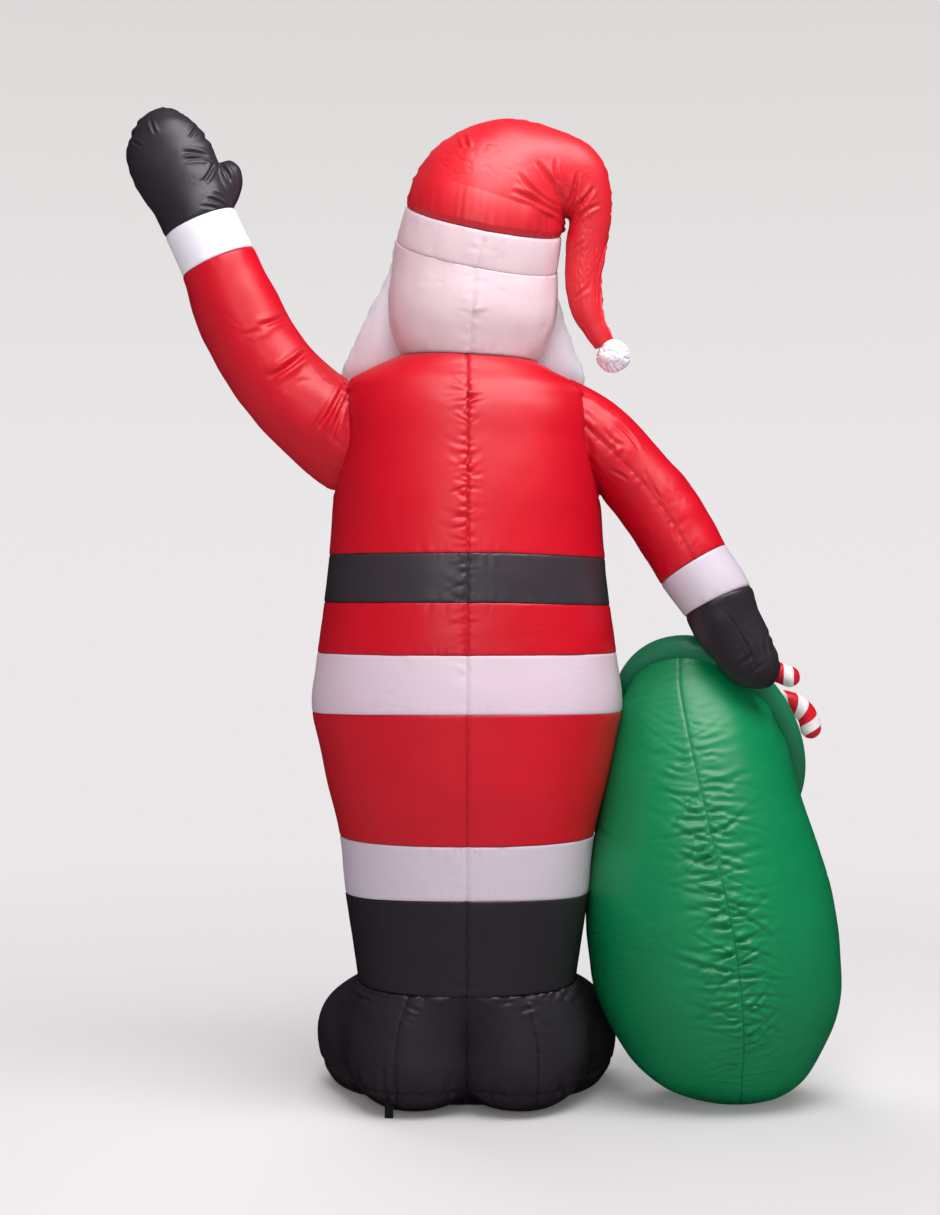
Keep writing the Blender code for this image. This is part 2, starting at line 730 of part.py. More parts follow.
def make_hat(parts, rooms):
    """The red hat, which bends over at its crotch and hangs down beside the head."""
    rows = np.asarray(HAT_FOLDS, float) * PART
    knots = np.arange(len(rows))
    at = np.concatenate([np.linspace(0, 8, 10), np.linspace(8, knots[-1], 7)[1:]])
    rings = []
    for inner_x, inner_z, outer_x, outer_z, half_depth, y in smooth(knots, rows, at):
        inner = np.array([inner_x, y, inner_z + CHIN_Z])
        outer = np.array([outer_x, y, outer_z + CHIN_Z])
        rings.append(ring((inner + outer) / 2, (outer - inner) / 2, (0, half_depth, 0), HAT_SIDES, 2.1))
    wide, deep = hat_axes()
    seat = HAT_SEAT + HAT_LEAN * (HAT_BAND_HEIGHT + SEAM_GAP)
    foot_size, bulge_size = HAT_FOOT * PART, HAT_BULGE[0] * PART
    foot = ring(seat, wide * foot_size, deep * foot_size, HAT_SIDES, 2.1)
    first = ring(seat + HAT_LEAN * HAT_BULGE[1], wide * bulge_size, deep * bulge_size, HAT_SIDES, 2.1)
    rings = [foot, first, *rings[1:]]
    hat = loft("hat", rings, "red", parts)
    for room in rooms:
        combine(hat, room)
    return hat


def make_pompom(parts):
    """The ball of gathered cloth at the end of the hat."""
    middle = np.array(parts_of(*POMPOM_MIDDLE)) + (0, 0, CHIN_Z)

    def build(shape):
        bmesh.ops.create_icosphere(shape, subdivisions=2, radius=POMPOM_RADIUS)
        bmesh.ops.transform(shape, matrix=Matrix.Translation(middle), verts=shape.verts)

    return new_object("pompom", build, "white", parts)


# Sack and sweets


def mouth_point(turn, out=0.0):
    """A point on the rim's middle line."""
    return (
        MOUTH_MIDDLE
        + MOUTH_LONG * (MOUTH_HALF_LENGTH + out) * math.cos(turn)
        + MOUTH_SHORT * (MOUTH_HALF_WIDTH + out) * math.sin(turn)
    )


def make_rim(parts, rooms):
    """The rolled edge of the sack's mouth, pressed flat where it meets the body."""
    turns = np.linspace(0, 2 * math.pi, SACK_SIDES, endpoint=False)
    facing = np.array(MOUTH_LONG.cross(MOUTH_SHORT))
    rings = []
    for turn in turns:
        place = np.array(mouth_point(turn))
        along = np.array(mouth_point(turn + 1e-3)) - np.array(mouth_point(turn - 1e-3))
        along /= np.linalg.norm(along)
        out = np.cross(along, facing)
        rings.append(ring(place, out * RIM_RADIUS, facing * RIM_RADIUS, CANE_SIDES))
    rim = loft("sack_rim", rings, "green", parts, closed=True)
    for room in rooms:
        combine(rim, room)
    return rim


def make_sack(parts, rooms):
    """The green sack: level rings from the floor, which tip over to meet its slanting mouth."""
    rings = []
    for z, x, y, half_width, half_depth, tilt in SACK_RINGS:
        wide = Vector((1, 0, 0)).lerp(MOUTH_SHORT, tilt).normalized()
        deep = Vector((0, 1, 0)).lerp(MOUTH_LONG, tilt)
        deep = (deep - wide * deep.dot(wide)).normalized()
        rings.append(ring((x, y, z), np.array(wide) * half_width, np.array(deep) * half_depth, SACK_SIDES, 2.1))
    mouth = (MOUTH_HALF_WIDTH, MOUTH_HALF_LENGTH)
    rings.append(ring(MOUTH_MIDDLE, np.array(MOUTH_SHORT) * mouth[0], np.array(MOUTH_LONG) * mouth[1], SACK_SIDES, 2.1))
    sack = loft("sack", rings, "green", parts)
    for room in rooms:
        combine(sack, room)
    return sack


def cane_rings(middles, radius):
    """Rings along a striped sweet, rounded off at its tip."""
    rows = np.asarray(middles, float)
    steps = np.linalg.norm(np.diff(rows, axis=0), axis=1)
    knots = np.concatenate([[0], np.cumsum(steps)])
    length = knots[-1]
    at = np.concatenate([np.linspace(0, length, 11), length + radius * np.array([0.5, 0.85, 0.98])])
    thin = np.concatenate([np.ones(11), [0.87, 0.53, 0.2]]) * radius
    rings = []
    for place, size in zip(at, thin):
        held = min(place, length)
        middle = smooth(knots, rows, [held])[0]
        along = smooth(knots, rows, [min(held + 1e-3, length)])[0] - smooth(knots, rows, [held - 1e-3])[0]
        along /= np.linalg.norm(along)
        middle = middle + along * (place - held)
        deep = np.cross(along, np.cross((0, 1, 0), along))
        deep /= np.linalg.norm(deep)
        across = np.cross(along, deep)
        rings.append(ring(middle, across * size, deep * size, CANE_SIDES))
    return rings


def hook_line():
    """Middle line of the lower sweet: up its stem, over its hook and a little down."""
    arc = [
        HOOK_MIDDLE + Vector((math.cos(turn), 0, math.sin(turn))) * HOOK_RADIUS
        for turn in np.linspace(0, math.pi - HOOK_TIP_ANGLE, 9)
    ]
    return [Vector(HOOK_STEM_FOOT), *arc]


def make_canes(parts, rooms):
    """Two striped sweets that stand in the sack's mouth."""
    for name, line in (("candy_cane_upper", UPPER_CANE), ("candy_cane_hooked", hook_line())):
        cane = loft(name, cane_rings(line, CANE_RADIUS), "red", parts)
        for room in rooms:
            combine(cane, room)


def main():
    """Clears the scene and builds every piece."""
    for thing in list(bpy.data.objects):
        bpy.data.objects.remove(thing, do_unlink=True)
    scene = bpy.context.scene
    parts = bpy.data.collections.new("inflatable_santa")
    cutters = bpy.data.collections.new("cutters")
    cutters.hide_render = True
    scene.collection.children.link(parts)
    scene.collection.children.link(cutters)

    body_room = make_body(parts, cutters)
    left_room, left_cuff, left_mitten = make_arm("left", LEFT_ARM, LEFT_HAND, parts, cutters, body_room)
    right_room, _, right_mitten = make_arm("right", RIGHT_ARM, RIGHT_HAND, parts, cutters, body_room)
    add_thumb(left_mitten, left_cuff, cutters)

    head_room = make_head(parts, cutters)
    band_room = grown_copy(make_hat_band(parts), cutters)
    beard = make_beard(parts, cutters, (body_room, head_room, left_room, right_room))
    beard_room = grown_copy(beard, cutters)
    make_features(parts, cutters, (head_room, beard_room))
    pompom_room = grown_copy(make_pompom(parts), cutters)
    make_hat(parts, (band_room, head_room, beard_room, pompom_room))

    mitten_room = grown_copy(right_mitten, cutters)
    rim_room = grown_copy(make_rim(parts, (body_room, mitten_room)), cutters)
    boot_room = grown_copy(make_boots(parts, cutters), cutters)
    sack = make_sack(parts, (body_room, boot_room, mitten_room, rim_room))
    make_canes(parts, (grown_copy(sack, cutters), rim_room))
    make_tab(parts)


main()
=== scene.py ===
"""The air-filled Santa, dressed: each sewn panel with its seams, puckers and folds in satin cloth.

Metres, +Z up. The figure faces -Y, and the camera stands behind it. Its raised left arm is at +X.
"""

import logging
import math
from collections.abc import Callable, Sequence
from dataclasses import dataclass, field
from enum import Enum

import bmesh
import bpy
import numpy as np
from mathutils import Matrix, Vector


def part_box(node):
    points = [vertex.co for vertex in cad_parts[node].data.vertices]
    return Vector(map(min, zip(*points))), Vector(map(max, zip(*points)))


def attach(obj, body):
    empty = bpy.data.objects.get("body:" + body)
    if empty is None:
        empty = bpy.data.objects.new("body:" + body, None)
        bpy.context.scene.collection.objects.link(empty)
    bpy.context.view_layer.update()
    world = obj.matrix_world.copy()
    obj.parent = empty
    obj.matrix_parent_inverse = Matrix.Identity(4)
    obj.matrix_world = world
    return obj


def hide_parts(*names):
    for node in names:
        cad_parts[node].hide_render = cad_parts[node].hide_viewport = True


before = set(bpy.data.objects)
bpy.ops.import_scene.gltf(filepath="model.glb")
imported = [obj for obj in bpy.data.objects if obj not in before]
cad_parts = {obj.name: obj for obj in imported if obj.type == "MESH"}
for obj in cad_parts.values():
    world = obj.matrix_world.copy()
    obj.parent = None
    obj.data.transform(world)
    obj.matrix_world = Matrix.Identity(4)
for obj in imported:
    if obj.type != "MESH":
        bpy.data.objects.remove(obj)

Array = np.ndarray
Pair = tuple[float, float]
Triple = tuple[float, float, float]
Table = tuple[tuple[float, ...], ...]
Strength = Callable[[float], float]

LOG = logging.getLogger("santa")

HEIGHT = 2.40
PART = HEIGHT / 2400  # free forms are drawn in parts, 2400 of them to the height
SEAM_GAP = 0.0003
STEP = 0.005  # how far apart the cloth's points lie
SEAM_SHOWS = 0.004  # how far from the stitches the cloth is darker, for the stitch line and painted shade in the seam's groove
SEAM_CROWD = 2.0  # how much closer the points lie beside a long seam
SEAM_SPREAD = 0.22  # over how wide a turn
BAND_SCALE = 0.314  # a wave texture's scale for one band to the metre
COAT_ROUGHNESS = 0.27

BACK = math.pi / 2
FRONT = -math.pi / 2

# Levels of the body's seams
ANKLE_Z = 0.295
SHAFT_TOP = 0.507
BAND_TOP = 0.644
HEM_Z = 0.940
HEM_TOP = 1.083
WAIST_Z = 1.204
BELT_TOP = 1.318
NECK_Z = 1.790
CHIN_Z = 1.805
TROUSER_HEIGHT = HEM_Z - BAND_TOP
COAT_HEIGHT = NECK_Z - BELT_TOP

FACE_X = -0.004  # the middle of the face


class Slot(Enum):
    """The record's material slots."""

    RED = "red_satin"
    WHITE = "white_satin"
    BLACK = "black_satin"
    GREEN = "green_satin"
    SKIN = "skin_satin"
    STRIPED = "striped_satin"
    WEBBING = "webbing"


# The view


@dataclass(frozen=True)
class View:
    """The level camera behind the figure, and its frame."""

    place: Triple = (0.0, 5.09, 1.233)
    frame_width: int = 940
    frame_height: int = 1215
    focal: float = 2100.0  # in pixels
    middle: Pair = (467.0, 590.0)  # the pixel that the camera faces
    sensor: float = 36.0

    def make(self) -> None:
        """Puts the camera in the scene."""
        data = bpy.data.cameras.new("camera")
        data.sensor_width = self.sensor
        data.lens = self.focal * self.sensor / self.frame_height
        data.shift_x = (self.frame_width / 2 - self.middle[0]) / self.frame_height
        data.shift_y = (self.middle[1] - self.frame_height / 2) / self.frame_height
        camera = bpy.data.objects.new("camera", data)
        camera.location = self.place
        camera.rotation_euler = (math.pi / 2, 0, math.pi)
        bpy.context.scene.collection.objects.link(camera)
        bpy.context.scene.camera = camera

    def seen(self, points: Array) -> tuple[Array, Array]:
        """Where points fall in the frame.

        Args:
            points: Places in the scene, along the last axis.

        Returns:
            How far right and how far down each one lies, in pixels.
        """
        away = self.place[1] - points[..., 1]
        across = self.middle[0] - points[..., 0] * self.focal / away
        down = self.middle[1] - (points[..., 2] - self.place[2]) * self.focal / away
        return across, down


VIEW = View()


# Curves and outlines


def smooth(knots: Sequence[float], values: Array, at: Array) -> Array:
    """Reads a smooth curve through rows of values.

    Args:
        knots: Where each row stands.
        values: One row for each knot.
        at: Where to read.

    Returns:
        One row for each place.
    """
    knots = np.asarray(knots, float)
    values = np.asarray(values, float)
    at = np.asarray(at, float)
    slopes = np.gradient(values, knots, axis=0)
    left = np.clip(np.searchsorted(knots, at, side="right") - 1, 0, len(knots) - 2)
    span = (knots[left + 1] - knots[left])[:, None]
    t = ((at - knots[left]) / span[:, 0])[:, None]
    start = (1 + 2 * t) * (1 - t) ** 2
    end = t * t * (3 - 2 * t)
    rise = t * (1 - t) ** 2 * span
    fall = t * t * (t - 1) * span
    return start * values[left] + rise * slopes[left] + end * values[left + 1] + fall * slopes[left + 1]


def read(table: Table, at: Array) -> Array:
    """Reads a table of sizes in parts, whose rows each start with where they stand.

    Args:
        table: The rows.
        at: Where to read.

    Returns:
        One row for each size, in metres.
    """
    rows = np.array(table, float)
    return smooth(rows[:, 0], rows[:, 1:] * PART, at).T


def rows_of(x: Array | float, y: Array | float, z: Array | float) -> Array:
    """Points or vectors from their three coordinates, one to a row."""
    return np.stack(np.broadcast_arrays(x, y, z), axis=1).astype(float)


def bell(off: Array, width: float) -> Array:
    """1 in the middle, and next to nothing from twice the width away."""
    return np.exp(-((off / width) ** 2))


def turn_gap(turns: Array, turn: float) -> Array:
    """How far turns are from one turn, the short way round."""
    return np.abs((turns - turn + math.pi) % (2 * math.pi) - math.pi)


def oval(turns: Array, power: float = 2.0) -> tuple[Array, Array]:
    """The two sides of a unit oval at each turn; a power above 2 makes it plumper."""
    wide = np.sign(np.cos(turns)) * np.abs(np.cos(turns)) ** (2 / power)
    deep = np.sign(np.sin(turns)) * np.abs(np.sin(turns)) ** (2 / power)
    return wide, deep


def even_turns(columns: int, power: float = 2.0, closer: Sequence[float] = ()) -> Array:
    """Turns that lie evenly along a unit oval, from 0 right round to 0 again.

    Args:
        columns: How many turns.
        power: How plump the oval is.
        closer: The turns of seams, where they lie closer together.

    Returns:
        The turns.
    """
    dense = np.linspace(0, 2 * math.pi, 4001)
    wide, deep = oval(dense, power)
    step = np.hypot(np.diff(wide), np.diff(deep))
    for turn in closer:
        step *= 1 + SEAM_CROWD * bell(turn_gap(dense[1:], turn), SEAM_SPREAD)
    run = np.concatenate([[0], np.cumsum(step)])
    return np.interp(np.linspace(0, run[-1], columns), run, dense)


def tube(middles: Array, wides: Array, deeps: Array, turns: Array, power: float = 2.0) -> Array:
    """The points of a tube, a row for each oval across it.

    Args:
        middles: The middle of each oval.
        wides: One half axis of each oval, as a vector.
        deeps: The other half axis.
        turns: Where round the oval each column lies.
        power: How plump the oval is.

    Returns:
        Rows by columns by three.
    """
    wide, deep = oval(turns, power)
    return middles[:, None] + wide[None, :, None] * wides[:, None] + deep[None, :, None] * deeps[:, None]


def unit(vectors: Array) -> Array:
    """The same vectors, each one long."""
    return vectors / np.maximum(np.linalg.norm(vectors, axis=-1, keepdims=True), 1e-12)


def rows_for(length: float, step: float = STEP) -> int:
    """How many rows of points cover a length of cloth."""
    return max(4, math.ceil(length / step) + 1)


# Folds and puckers


def cloud(points: Array, wave: float, seed: int, stretch: Triple = (1, 1, 1)) -> Array:
    """A soft random field in space.

    Args:
        points: Where to read it.
        wave: The length of its waves.
        seed: Which field.
        stretch: How much longer the waves are along each axis.

    Returns:
        Values whose spread is about one.
    """
    rng = np.random.default_rng(seed)
    ways = unit(rng.normal(size=(16, 3))) / np.asarray(stretch)
    ways *= (2 * math.pi / wave * rng.uniform(0.6, 1.6, 16))[:, None]
    return np.cos(points @ ways.T + rng.uniform(0, 2 * math.pi, 16)).sum(axis=-1) / math.sqrt(8)


def evenly(share: float) -> float:
    """A seam that gathers the cloth alike all along."""
    return 1.0


def varying(shares: Sequence[float], strengths: Sequence[float]) -> Strength:
    """A seam that gathers the cloth more at some shares of its length than at others."""
    return lambda share: float(np.interp(share, shares, strengths))


@dataclass(frozen=True)
class Seam:
    """How a line of stitches draws the cloth in, and the tucks that it leaves on each side."""

    depth: float = 0.004
    reach: float = 0.014
    tuck: float = 0.0020  # how high the tallest tuck stands
    gap: float = 0.012  # about how far apart the tucks are
    length: float = 0.045  # how long a long one is
    width: float = 0.0050
    sides: Pair = (1.0, 1.0)  # how long the tucks are on each side

    def height(self, distance: Array, along: Array, length: float, seed: int, strength: Strength) -> Array:
        """How far each point stands above the plain cloth.

        Args:
            distance: How far each point is from the stitches, less than 0 on one side.
            along: How far along the seam it lies.
            length: The length of the seam.
            seed: Which pattern of tucks.
            strength: How strongly the cloth is gathered at a share of the seam's length.

        Returns:
            Heights in metres, less than 0 where the cloth dips.
        """
        rng = np.random.default_rng(seed)
        height = -self.depth * np.clip(1 - np.abs(distance) / self.reach, 0, 1) ** 1.6
        near = np.flatnonzero(np.abs(distance) < self.length * 1.5)
        off, run, raised = distance.ravel()[near], along.ravel()[near], np.zeros(len(near))
        for number in range(int(2 * length / self.gap)):
            side = 1 if number % 2 else -1
            place = rng.uniform(0, length)
            reach = self.length * (0.3 + 1.1 * rng.beta(1.6, 2.6)) * self.sides[number % 2]
            width = self.width * rng.uniform(0.7, 1.5)
            tilt, bow = rng.normal(0, 0.25), rng.normal(0, 3.0)
            high = self.tuck * rng.uniform(0.3, 1.0) * strength(place / length)
            share = np.clip(side * off / reach, 0, 1)
            gone = (run - place - tilt * np.abs(off) - bow * off**2 + length / 2) % length - length / 2
            gone /= width * (1 + 0.8 * share)
            taper = np.clip(share / 0.10, 0, 1) * (1 - share) ** 1.2
            lips = 0.55 * bell(gone - 1.4, 1) + 0.3 * bell(gone + 1.4, 1)
            raised += high * taper * (lips - np.exp(-(gone**2) * 1.5))
        height.ravel()[near] += raised
        return height


@dataclass(frozen=True)
class Fold:
    """A crease in the cloth, from one place in the camera's frame to another."""

    start: Pair
    end: Pair
    width: float = 4.0  # in pixels
    depth: float = 0.004
    bow: float = 0.0  # how far its middle stands off the straight line, in pixels

    def height(self, across: Array, down: Array) -> Array:
        """How far the crease moves each point.

        Args:
            across: How far right each point is seen, in pixels.
            down: How far down it is seen.

        Returns:
            Heights in metres: a valley with a soft lip on each side.
        """
        start, end = np.array(self.start), np.array(self.end)
        along = end - start
        length = float(np.hypot(*along))
        along = along / length
        x, y = across - start[0], down - start[1]
        share = (x * along[0] + y * along[1]) / length
        off = x * -along[1] + y * along[0] - self.bow * 4 * share * (1 - share)
        taper = np.clip(1 - (2 * np.abs(share - 0.5)) ** 3, 0, 1) * (np.abs(share - 0.5) < 0.5)
        t = off / self.width
        lips = 0.55 * bell(t - 1.5, 1) + 0.55 * bell(t + 1.5, 1)
        return self.depth * taper * (lips - np.exp(-(t**2) * 1.6))


# Finishes


@dataclass(frozen=True)
class Nodes:
    """The nodes of a material or a world, each added and wired in one call."""

    tree: bpy.types.NodeTree

    def add(
        self, kind: str, inputs: dict[str | int, object] | None = None, **settings: object
    ) -> bpy.types.Node:
        """Adds a node.

        Args:
            kind: Its type, without the ShaderNode before it.
            inputs: What its sockets get.
            settings: Its other properties.

        Returns:
            The node.
        """
        node = self.tree.nodes.new(f"ShaderNode{kind}")
        for name, value in settings.items():
            setattr(node, name, value)
        self.feed(node, inputs or {})
        return node

    def feed(self, node: bpy.types.Node, inputs: dict[str | int, object]) -> None:
        """Gives sockets of a node a value each, or the socket of another node."""
        for socket, value in inputs.items():
            if isinstance(value, bpy.types.NodeSocket):
                self.tree.links.new(value, node.inputs[socket])
            else:
                node.inputs[socket].default_value = value

    def maths(self, operation: str, *terms: bpy.types.NodeSocket | float) -> bpy.types.NodeSocket:
        """One step of arithmetic on sockets and numbers."""
        return self.add("Math", dict(enumerate(terms)), operation=operation).outputs["Value"]

    def place(self) -> bpy.types.NodeSocket:
        """Where each point of the object lies."""
        return self.add("TexCoord").outputs["Object"]

    def chart(self) -> bpy.types.NodeSocket:
        """Where each point lies on the flat cloth."""
        return self.add("UVMap", uv_map="cloth").outputs["UV"]

    def ramp(
        self,
        share: bpy.types.NodeSocket,
        low: tuple[float, Triple],
        high: tuple[float, Triple],
        way: str = "LINEAR",
    ) -> bpy.types.NodeSocket:
        """A ramp between two colours.

        Args:
            share: Where on the ramp to read.
            low: Where the first colour stands, and the colour.
            high: The same for the second.
            way: How one runs into the other.

        Returns:
            The socket that gives the colour.
        """
        node = self.add("ValToRGB", {"Fac": share})
        node.color_ramp.interpolation = way
        for element, (position, colour) in zip(node.color_ramp.elements, (low, high)):
            element.position = position
            element.color = (*colour, 1.0)
        return node.outputs["Color"]


@dataclass(frozen=True)
class Cloth:
    """A satin cloth of one colour, with its weave and sheen, and its seams darkened for the stitch line and painted
    shade.
    """

    name: str
    colour: Triple
    slot: Slot
    roughness: float = 0.38
    gloss: float = 0.42
    coat: float = 0.06
    stitch_and_groove_shade: float = 0.35  # how dark the cloth is along the seams: the stitch line, and painted shade in the seam's groove
    shade: float = 0.80  # how dark its darkest patches are
    weave: float = 0.0007
    grain: float = 0.10

    def material(self) -> bpy.types.Material:
        """The cloth as a material; it is made once."""
        found = bpy.data.materials.get(self.name)
        if found:
            return found
        made = bpy.data.materials.new(self.name)
        made.use_nodes = True
        made.diffuse_color = (*self.colour, 1.0)
        nodes = Nodes(made.node_tree)
        # darker along the seams: the stitch line, and painted shade in the groove that the seam draws in
        stitches = nodes.add("Attribute", attribute_name="seam").outputs["Fac"]
        fold = nodes.add("MapRange", {"Value": stitches, "From Min": 0.6, "To Min": 1.0, "To Max": self.stitch_and_groove_shade})
        dark = nodes.add(
            "Mix",
            {"Factor": 1.0, 6: self.dye(nodes), 7: fold.outputs["Result"]},
            data_type="RGBA",
            blend_type="MULTIPLY",
        )
        normal, roughness = self.texture(nodes)
        looks = {
            "Base Color": dark.outputs[2],
            "Normal": normal,
            "Roughness": roughness,
            "Specular IOR Level": self.gloss,
            "Coat Weight": self.coat,
            "Coat Roughness": COAT_ROUGHNESS,
        }
        nodes.feed(made.node_tree.nodes["Principled BSDF"], looks)
        return made

    def dye(self, nodes: Nodes) -> bpy.types.NodeSocket:
        """The cloth's colour, a little uneven.

        Args:
            nodes: The material's nodes.

        Returns:
            The socket that gives the colour.
        """
        patch = nodes.add("TexNoise", {"Vector": nodes.place(), "Scale": 2.6, "Detail": 4.0})
        dull = tuple(c * self.shade for c in self.colour)
        return nodes.ramp(patch.outputs["Fac"], (0.3, dull), (0.7, self.colour))

    def texture(self, nodes: Nodes) -> tuple[bpy.types.NodeSocket, bpy.types.NodeSocket]:
        """Weave and grain, as bump and as uneven gloss.

        Args:
            nodes: The material's nodes.

        Returns:
            The sockets that give the normal and the roughness.
        """
        chart = nodes.chart()
        looms = {"Vector": chart, "Scale": BAND_SCALE / self.weave, "Distortion": 0.4}
        threads = (nodes.add("TexWave", looms, bands_direction=way).outputs["Fac"] for way in ("X", "Y"))
        woven = nodes.maths("MULTIPLY", *threads)
        grain = nodes.add("TexNoise", {"Vector": chart, "Scale": 240.0, "Detail": 3.0}).outputs["Fac"]
        raised = {"Height": nodes.maths("ADD", woven, grain), "Strength": self.grain, "Distance": 0.0006}
        uneven = {"Value": grain, "To Min": self.roughness - 0.05, "To Max": self.roughness + 0.08}
        return nodes.add("Bump", raised).outputs["Normal"], nodes.add("MapRange", uneven).outputs["Result"]


@dataclass(frozen=True)
class Striped(Cloth):
    """Satin with slanting stripes of a second colour, as on a sweet."""

    second: Triple = (0.82, 0.78, 0.80)
    stripe: float = 0.052
    slant: Triple = (0.32, 1.0, 0.0)

    def dye(self, nodes: Nodes) -> bpy.types.NodeSocket:
        """Stripes across the tube, which lean a little.

        Args:
            nodes: The material's nodes.

        Returns:
            The socket that gives the colour.
        """
        turned = nodes.add("VectorMath", {0: nodes.chart(), 1: self.slant}, operation="DOT_PRODUCT")
        beat = nodes.maths("PINGPONG", turned.outputs["Value"], self.stripe / 2)
        share = nodes.maths("DIVIDE", beat, self.stripe / 2)
        return nodes.ramp(share, (0.0, self.second), (0.5, self.colour), "CONSTANT")


@dataclass(frozen=True)
class Patch:
    """A printed patch of colour on the front of a piece."""

    x: float
    z: float
    half_x: float
    half_z: float
    colour: Triple
    power: float = 2.0  # 2 for an oval, more for a rectangle
    soft: float = 0.05
    turn: float = 0.0  # in degrees
    ink: float = 1.0


@dataclass(frozen=True)
class Printed(Cloth):
    """Satin with patches of colour printed on its front."""

    patches: tuple[Patch, ...] = ()

    def dye(self, nodes: Nodes) -> bpy.types.NodeSocket:
        """The cloth's colour with its patches laid over it in order.

        Args:
            nodes: The material's nodes.

        Returns:
            The socket that gives the colour.
        """
        colour, place = super().dye(nodes), nodes.place()
        for patch in self.patches:
            spread = {
                "Vector": place,
                "Location": (patch.x, 0.0, patch.z),
                "Rotation": (0.0, math.radians(patch.turn), 0.0),
                "Scale": (patch.half_x, 1.0, patch.half_z),
            }
            turned = nodes.add("Mapping", spread, vector_type="TEXTURE")
            x, y, z = nodes.add("SeparateXYZ", {"Vector": turned.outputs["Vector"]}).outputs
            sides = (nodes.maths("POWER", nodes.maths("ABSOLUTE", way), patch.power) for way in (x, z))
            edge = {
                "Value": nodes.maths("ADD", *sides),
                "From Min": 1 + patch.soft,
                "From Max": 1 - patch.soft,
                "To Max": patch.ink,
            }
            inside = nodes.add("MapRange", edge).outputs["Result"]
            shown = nodes.maths("MULTIPLY", inside, nodes.maths("LESS_THAN", y, 0.0))
            mix = nodes.add("Mix", {"Factor": shown, 6: colour, 7: (*patch.colour, 1.0)}, data_type="RGBA")
            colour = mix.outputs[2]
        return colour


def face_patches() -> tuple[Patch, ...]:
    """Cheeks, eyes with a painted highlight each, and brows, in the usual places of a drawn face."""
    found = []
    for side in (1, -1):
        x = FACE_X + side * 0.058
        found += [
            Patch(FACE_X + side * 0.088, CHIN_Z + 0.140, 0.040, 0.034, (0.80, 0.16, 0.14), soft=0.9, ink=0.55),
            Patch(x, CHIN_Z + 0.198, 0.0245, 0.0215, (0.10, 0.035, 0.025)),
            Patch(x, CHIN_Z + 0.197, 0.0225, 0.0190, (0.86, 0.86, 0.88)),
            Patch(x - side * 0.002, CHIN_Z + 0.197, 0.0130, 0.0150, (0.035, 0.075, 0.16)),
            Patch(x - side * 0.002, CHIN_Z + 0.197, 0.0065, 0.0075, (0.004, 0.004, 0.006)),
            # a white dot on each eye: a painted highlight
            Patch(x + 0.003, CHIN_Z + 0.203, 0.0030, 0.0030, (0.90, 0.90, 0.90)),
            Patch(x + side * 0.002, CHIN_Z + 0.242, 0.034, 0.0095, (0.80, 0.77, 0.80), turn=side * 9),
        ]
    return tuple(found)


GOLD = (0.78, 0.47, 0.06)
BELT_BLACK = (0.043, 0.034, 0.043)
SKIN_TONE = (0.82, 0.47, 0.36)
BUCKLE_Z = (WAIST_Z + BELT_TOP) / 2
BUCKLE = (
    Patch(0.0, BUCKLE_Z, 0.090, 0.052, GOLD, power=8.0),
    Patch(0.0, BUCKLE_Z, 0.066, 0.030, BELT_BLACK, power=8.0),
    Patch(0.030, BUCKLE_Z, 0.036, 0.007, GOLD, power=6.0),
)

RED = Cloth("sewn_red", (0.62, 0.0010, 0.014), Slot.RED, gloss=0.38)
# a brighter copy of the red satin for the lit hat: its extra red, green and blue are painted sheen
HAT_RED_PAINTED_SHEEN = Cloth("sewn_red_hat_painted_sheen", (0.68, 0.006, 0.018), Slot.RED, roughness=0.44, gloss=0.62)
WHITE = Cloth("sewn_white", (0.80, 0.78, 0.86), Slot.WHITE, shade=0.96, stitch_and_groove_shade=0.85)
# the white satin made darker and pink for the coat's hem band: painted shade, and a painted glow of red light
# through the cloth
SHADED_PINK_WHITE = Cloth("sewn_white_shaded_pink", (0.70, 0.55, 0.64), Slot.WHITE, shade=0.95, stitch_and_groove_shade=0.8)
# the white satin made darker still and pink, for the trouser band and the hanging right cuff: painted shade, and a
# painted glow of red light
DEEP_SHADED_PINK_WHITE = Cloth("sewn_white_deep_shaded_pink", (0.62, 0.54, 0.62), Slot.WHITE, shade=0.95, stitch_and_groove_shade=0.8)
# the white satin tinted pink: a painted glow of red light through the cloth
PINK_GLOW_WHITE = Cloth("sewn_white_pink_glow", (0.76, 0.57, 0.62), Slot.WHITE, shade=0.96, stitch_and_groove_shade=0.88)
BLACK = Cloth("sewn_black", (0.030, 0.023, 0.031), Slot.BLACK)
GREEN = Cloth("sewn_green", (0.001, 0.25, 0.085), Slot.GREEN)
# a lighter, greyer copy of the green satin for the roll round the mouth: painted light
RIM_GREEN_PAINTED_LIGHT = Cloth("sewn_green_rim_painted_light", (0.012, 0.22, 0.10), Slot.GREEN)
BELT = Printed("sewn_black_belt", BELT_BLACK, Slot.BLACK, patches=BUCKLE)
SKIN = Cloth("sewn_skin", SKIN_TONE, Slot.SKIN, shade=0.96, stitch_and_groove_shade=0.8)
FACE = Printed("sewn_skin_face", SKIN_TONE, Slot.SKIN, shade=0.96, stitch_and_groove_shade=0.8, patches=face_patches())
STRIPES = Striped("sewn_striped", (0.66, 0.004, 0.018), Slot.STRIPED)
WEBBING = Cloth("woven_webbing", (0.008, 0.008, 0.009), Slot.WEBBING, roughness=0.7, coat=0.0, grain=0.8)


# Panels of cloth


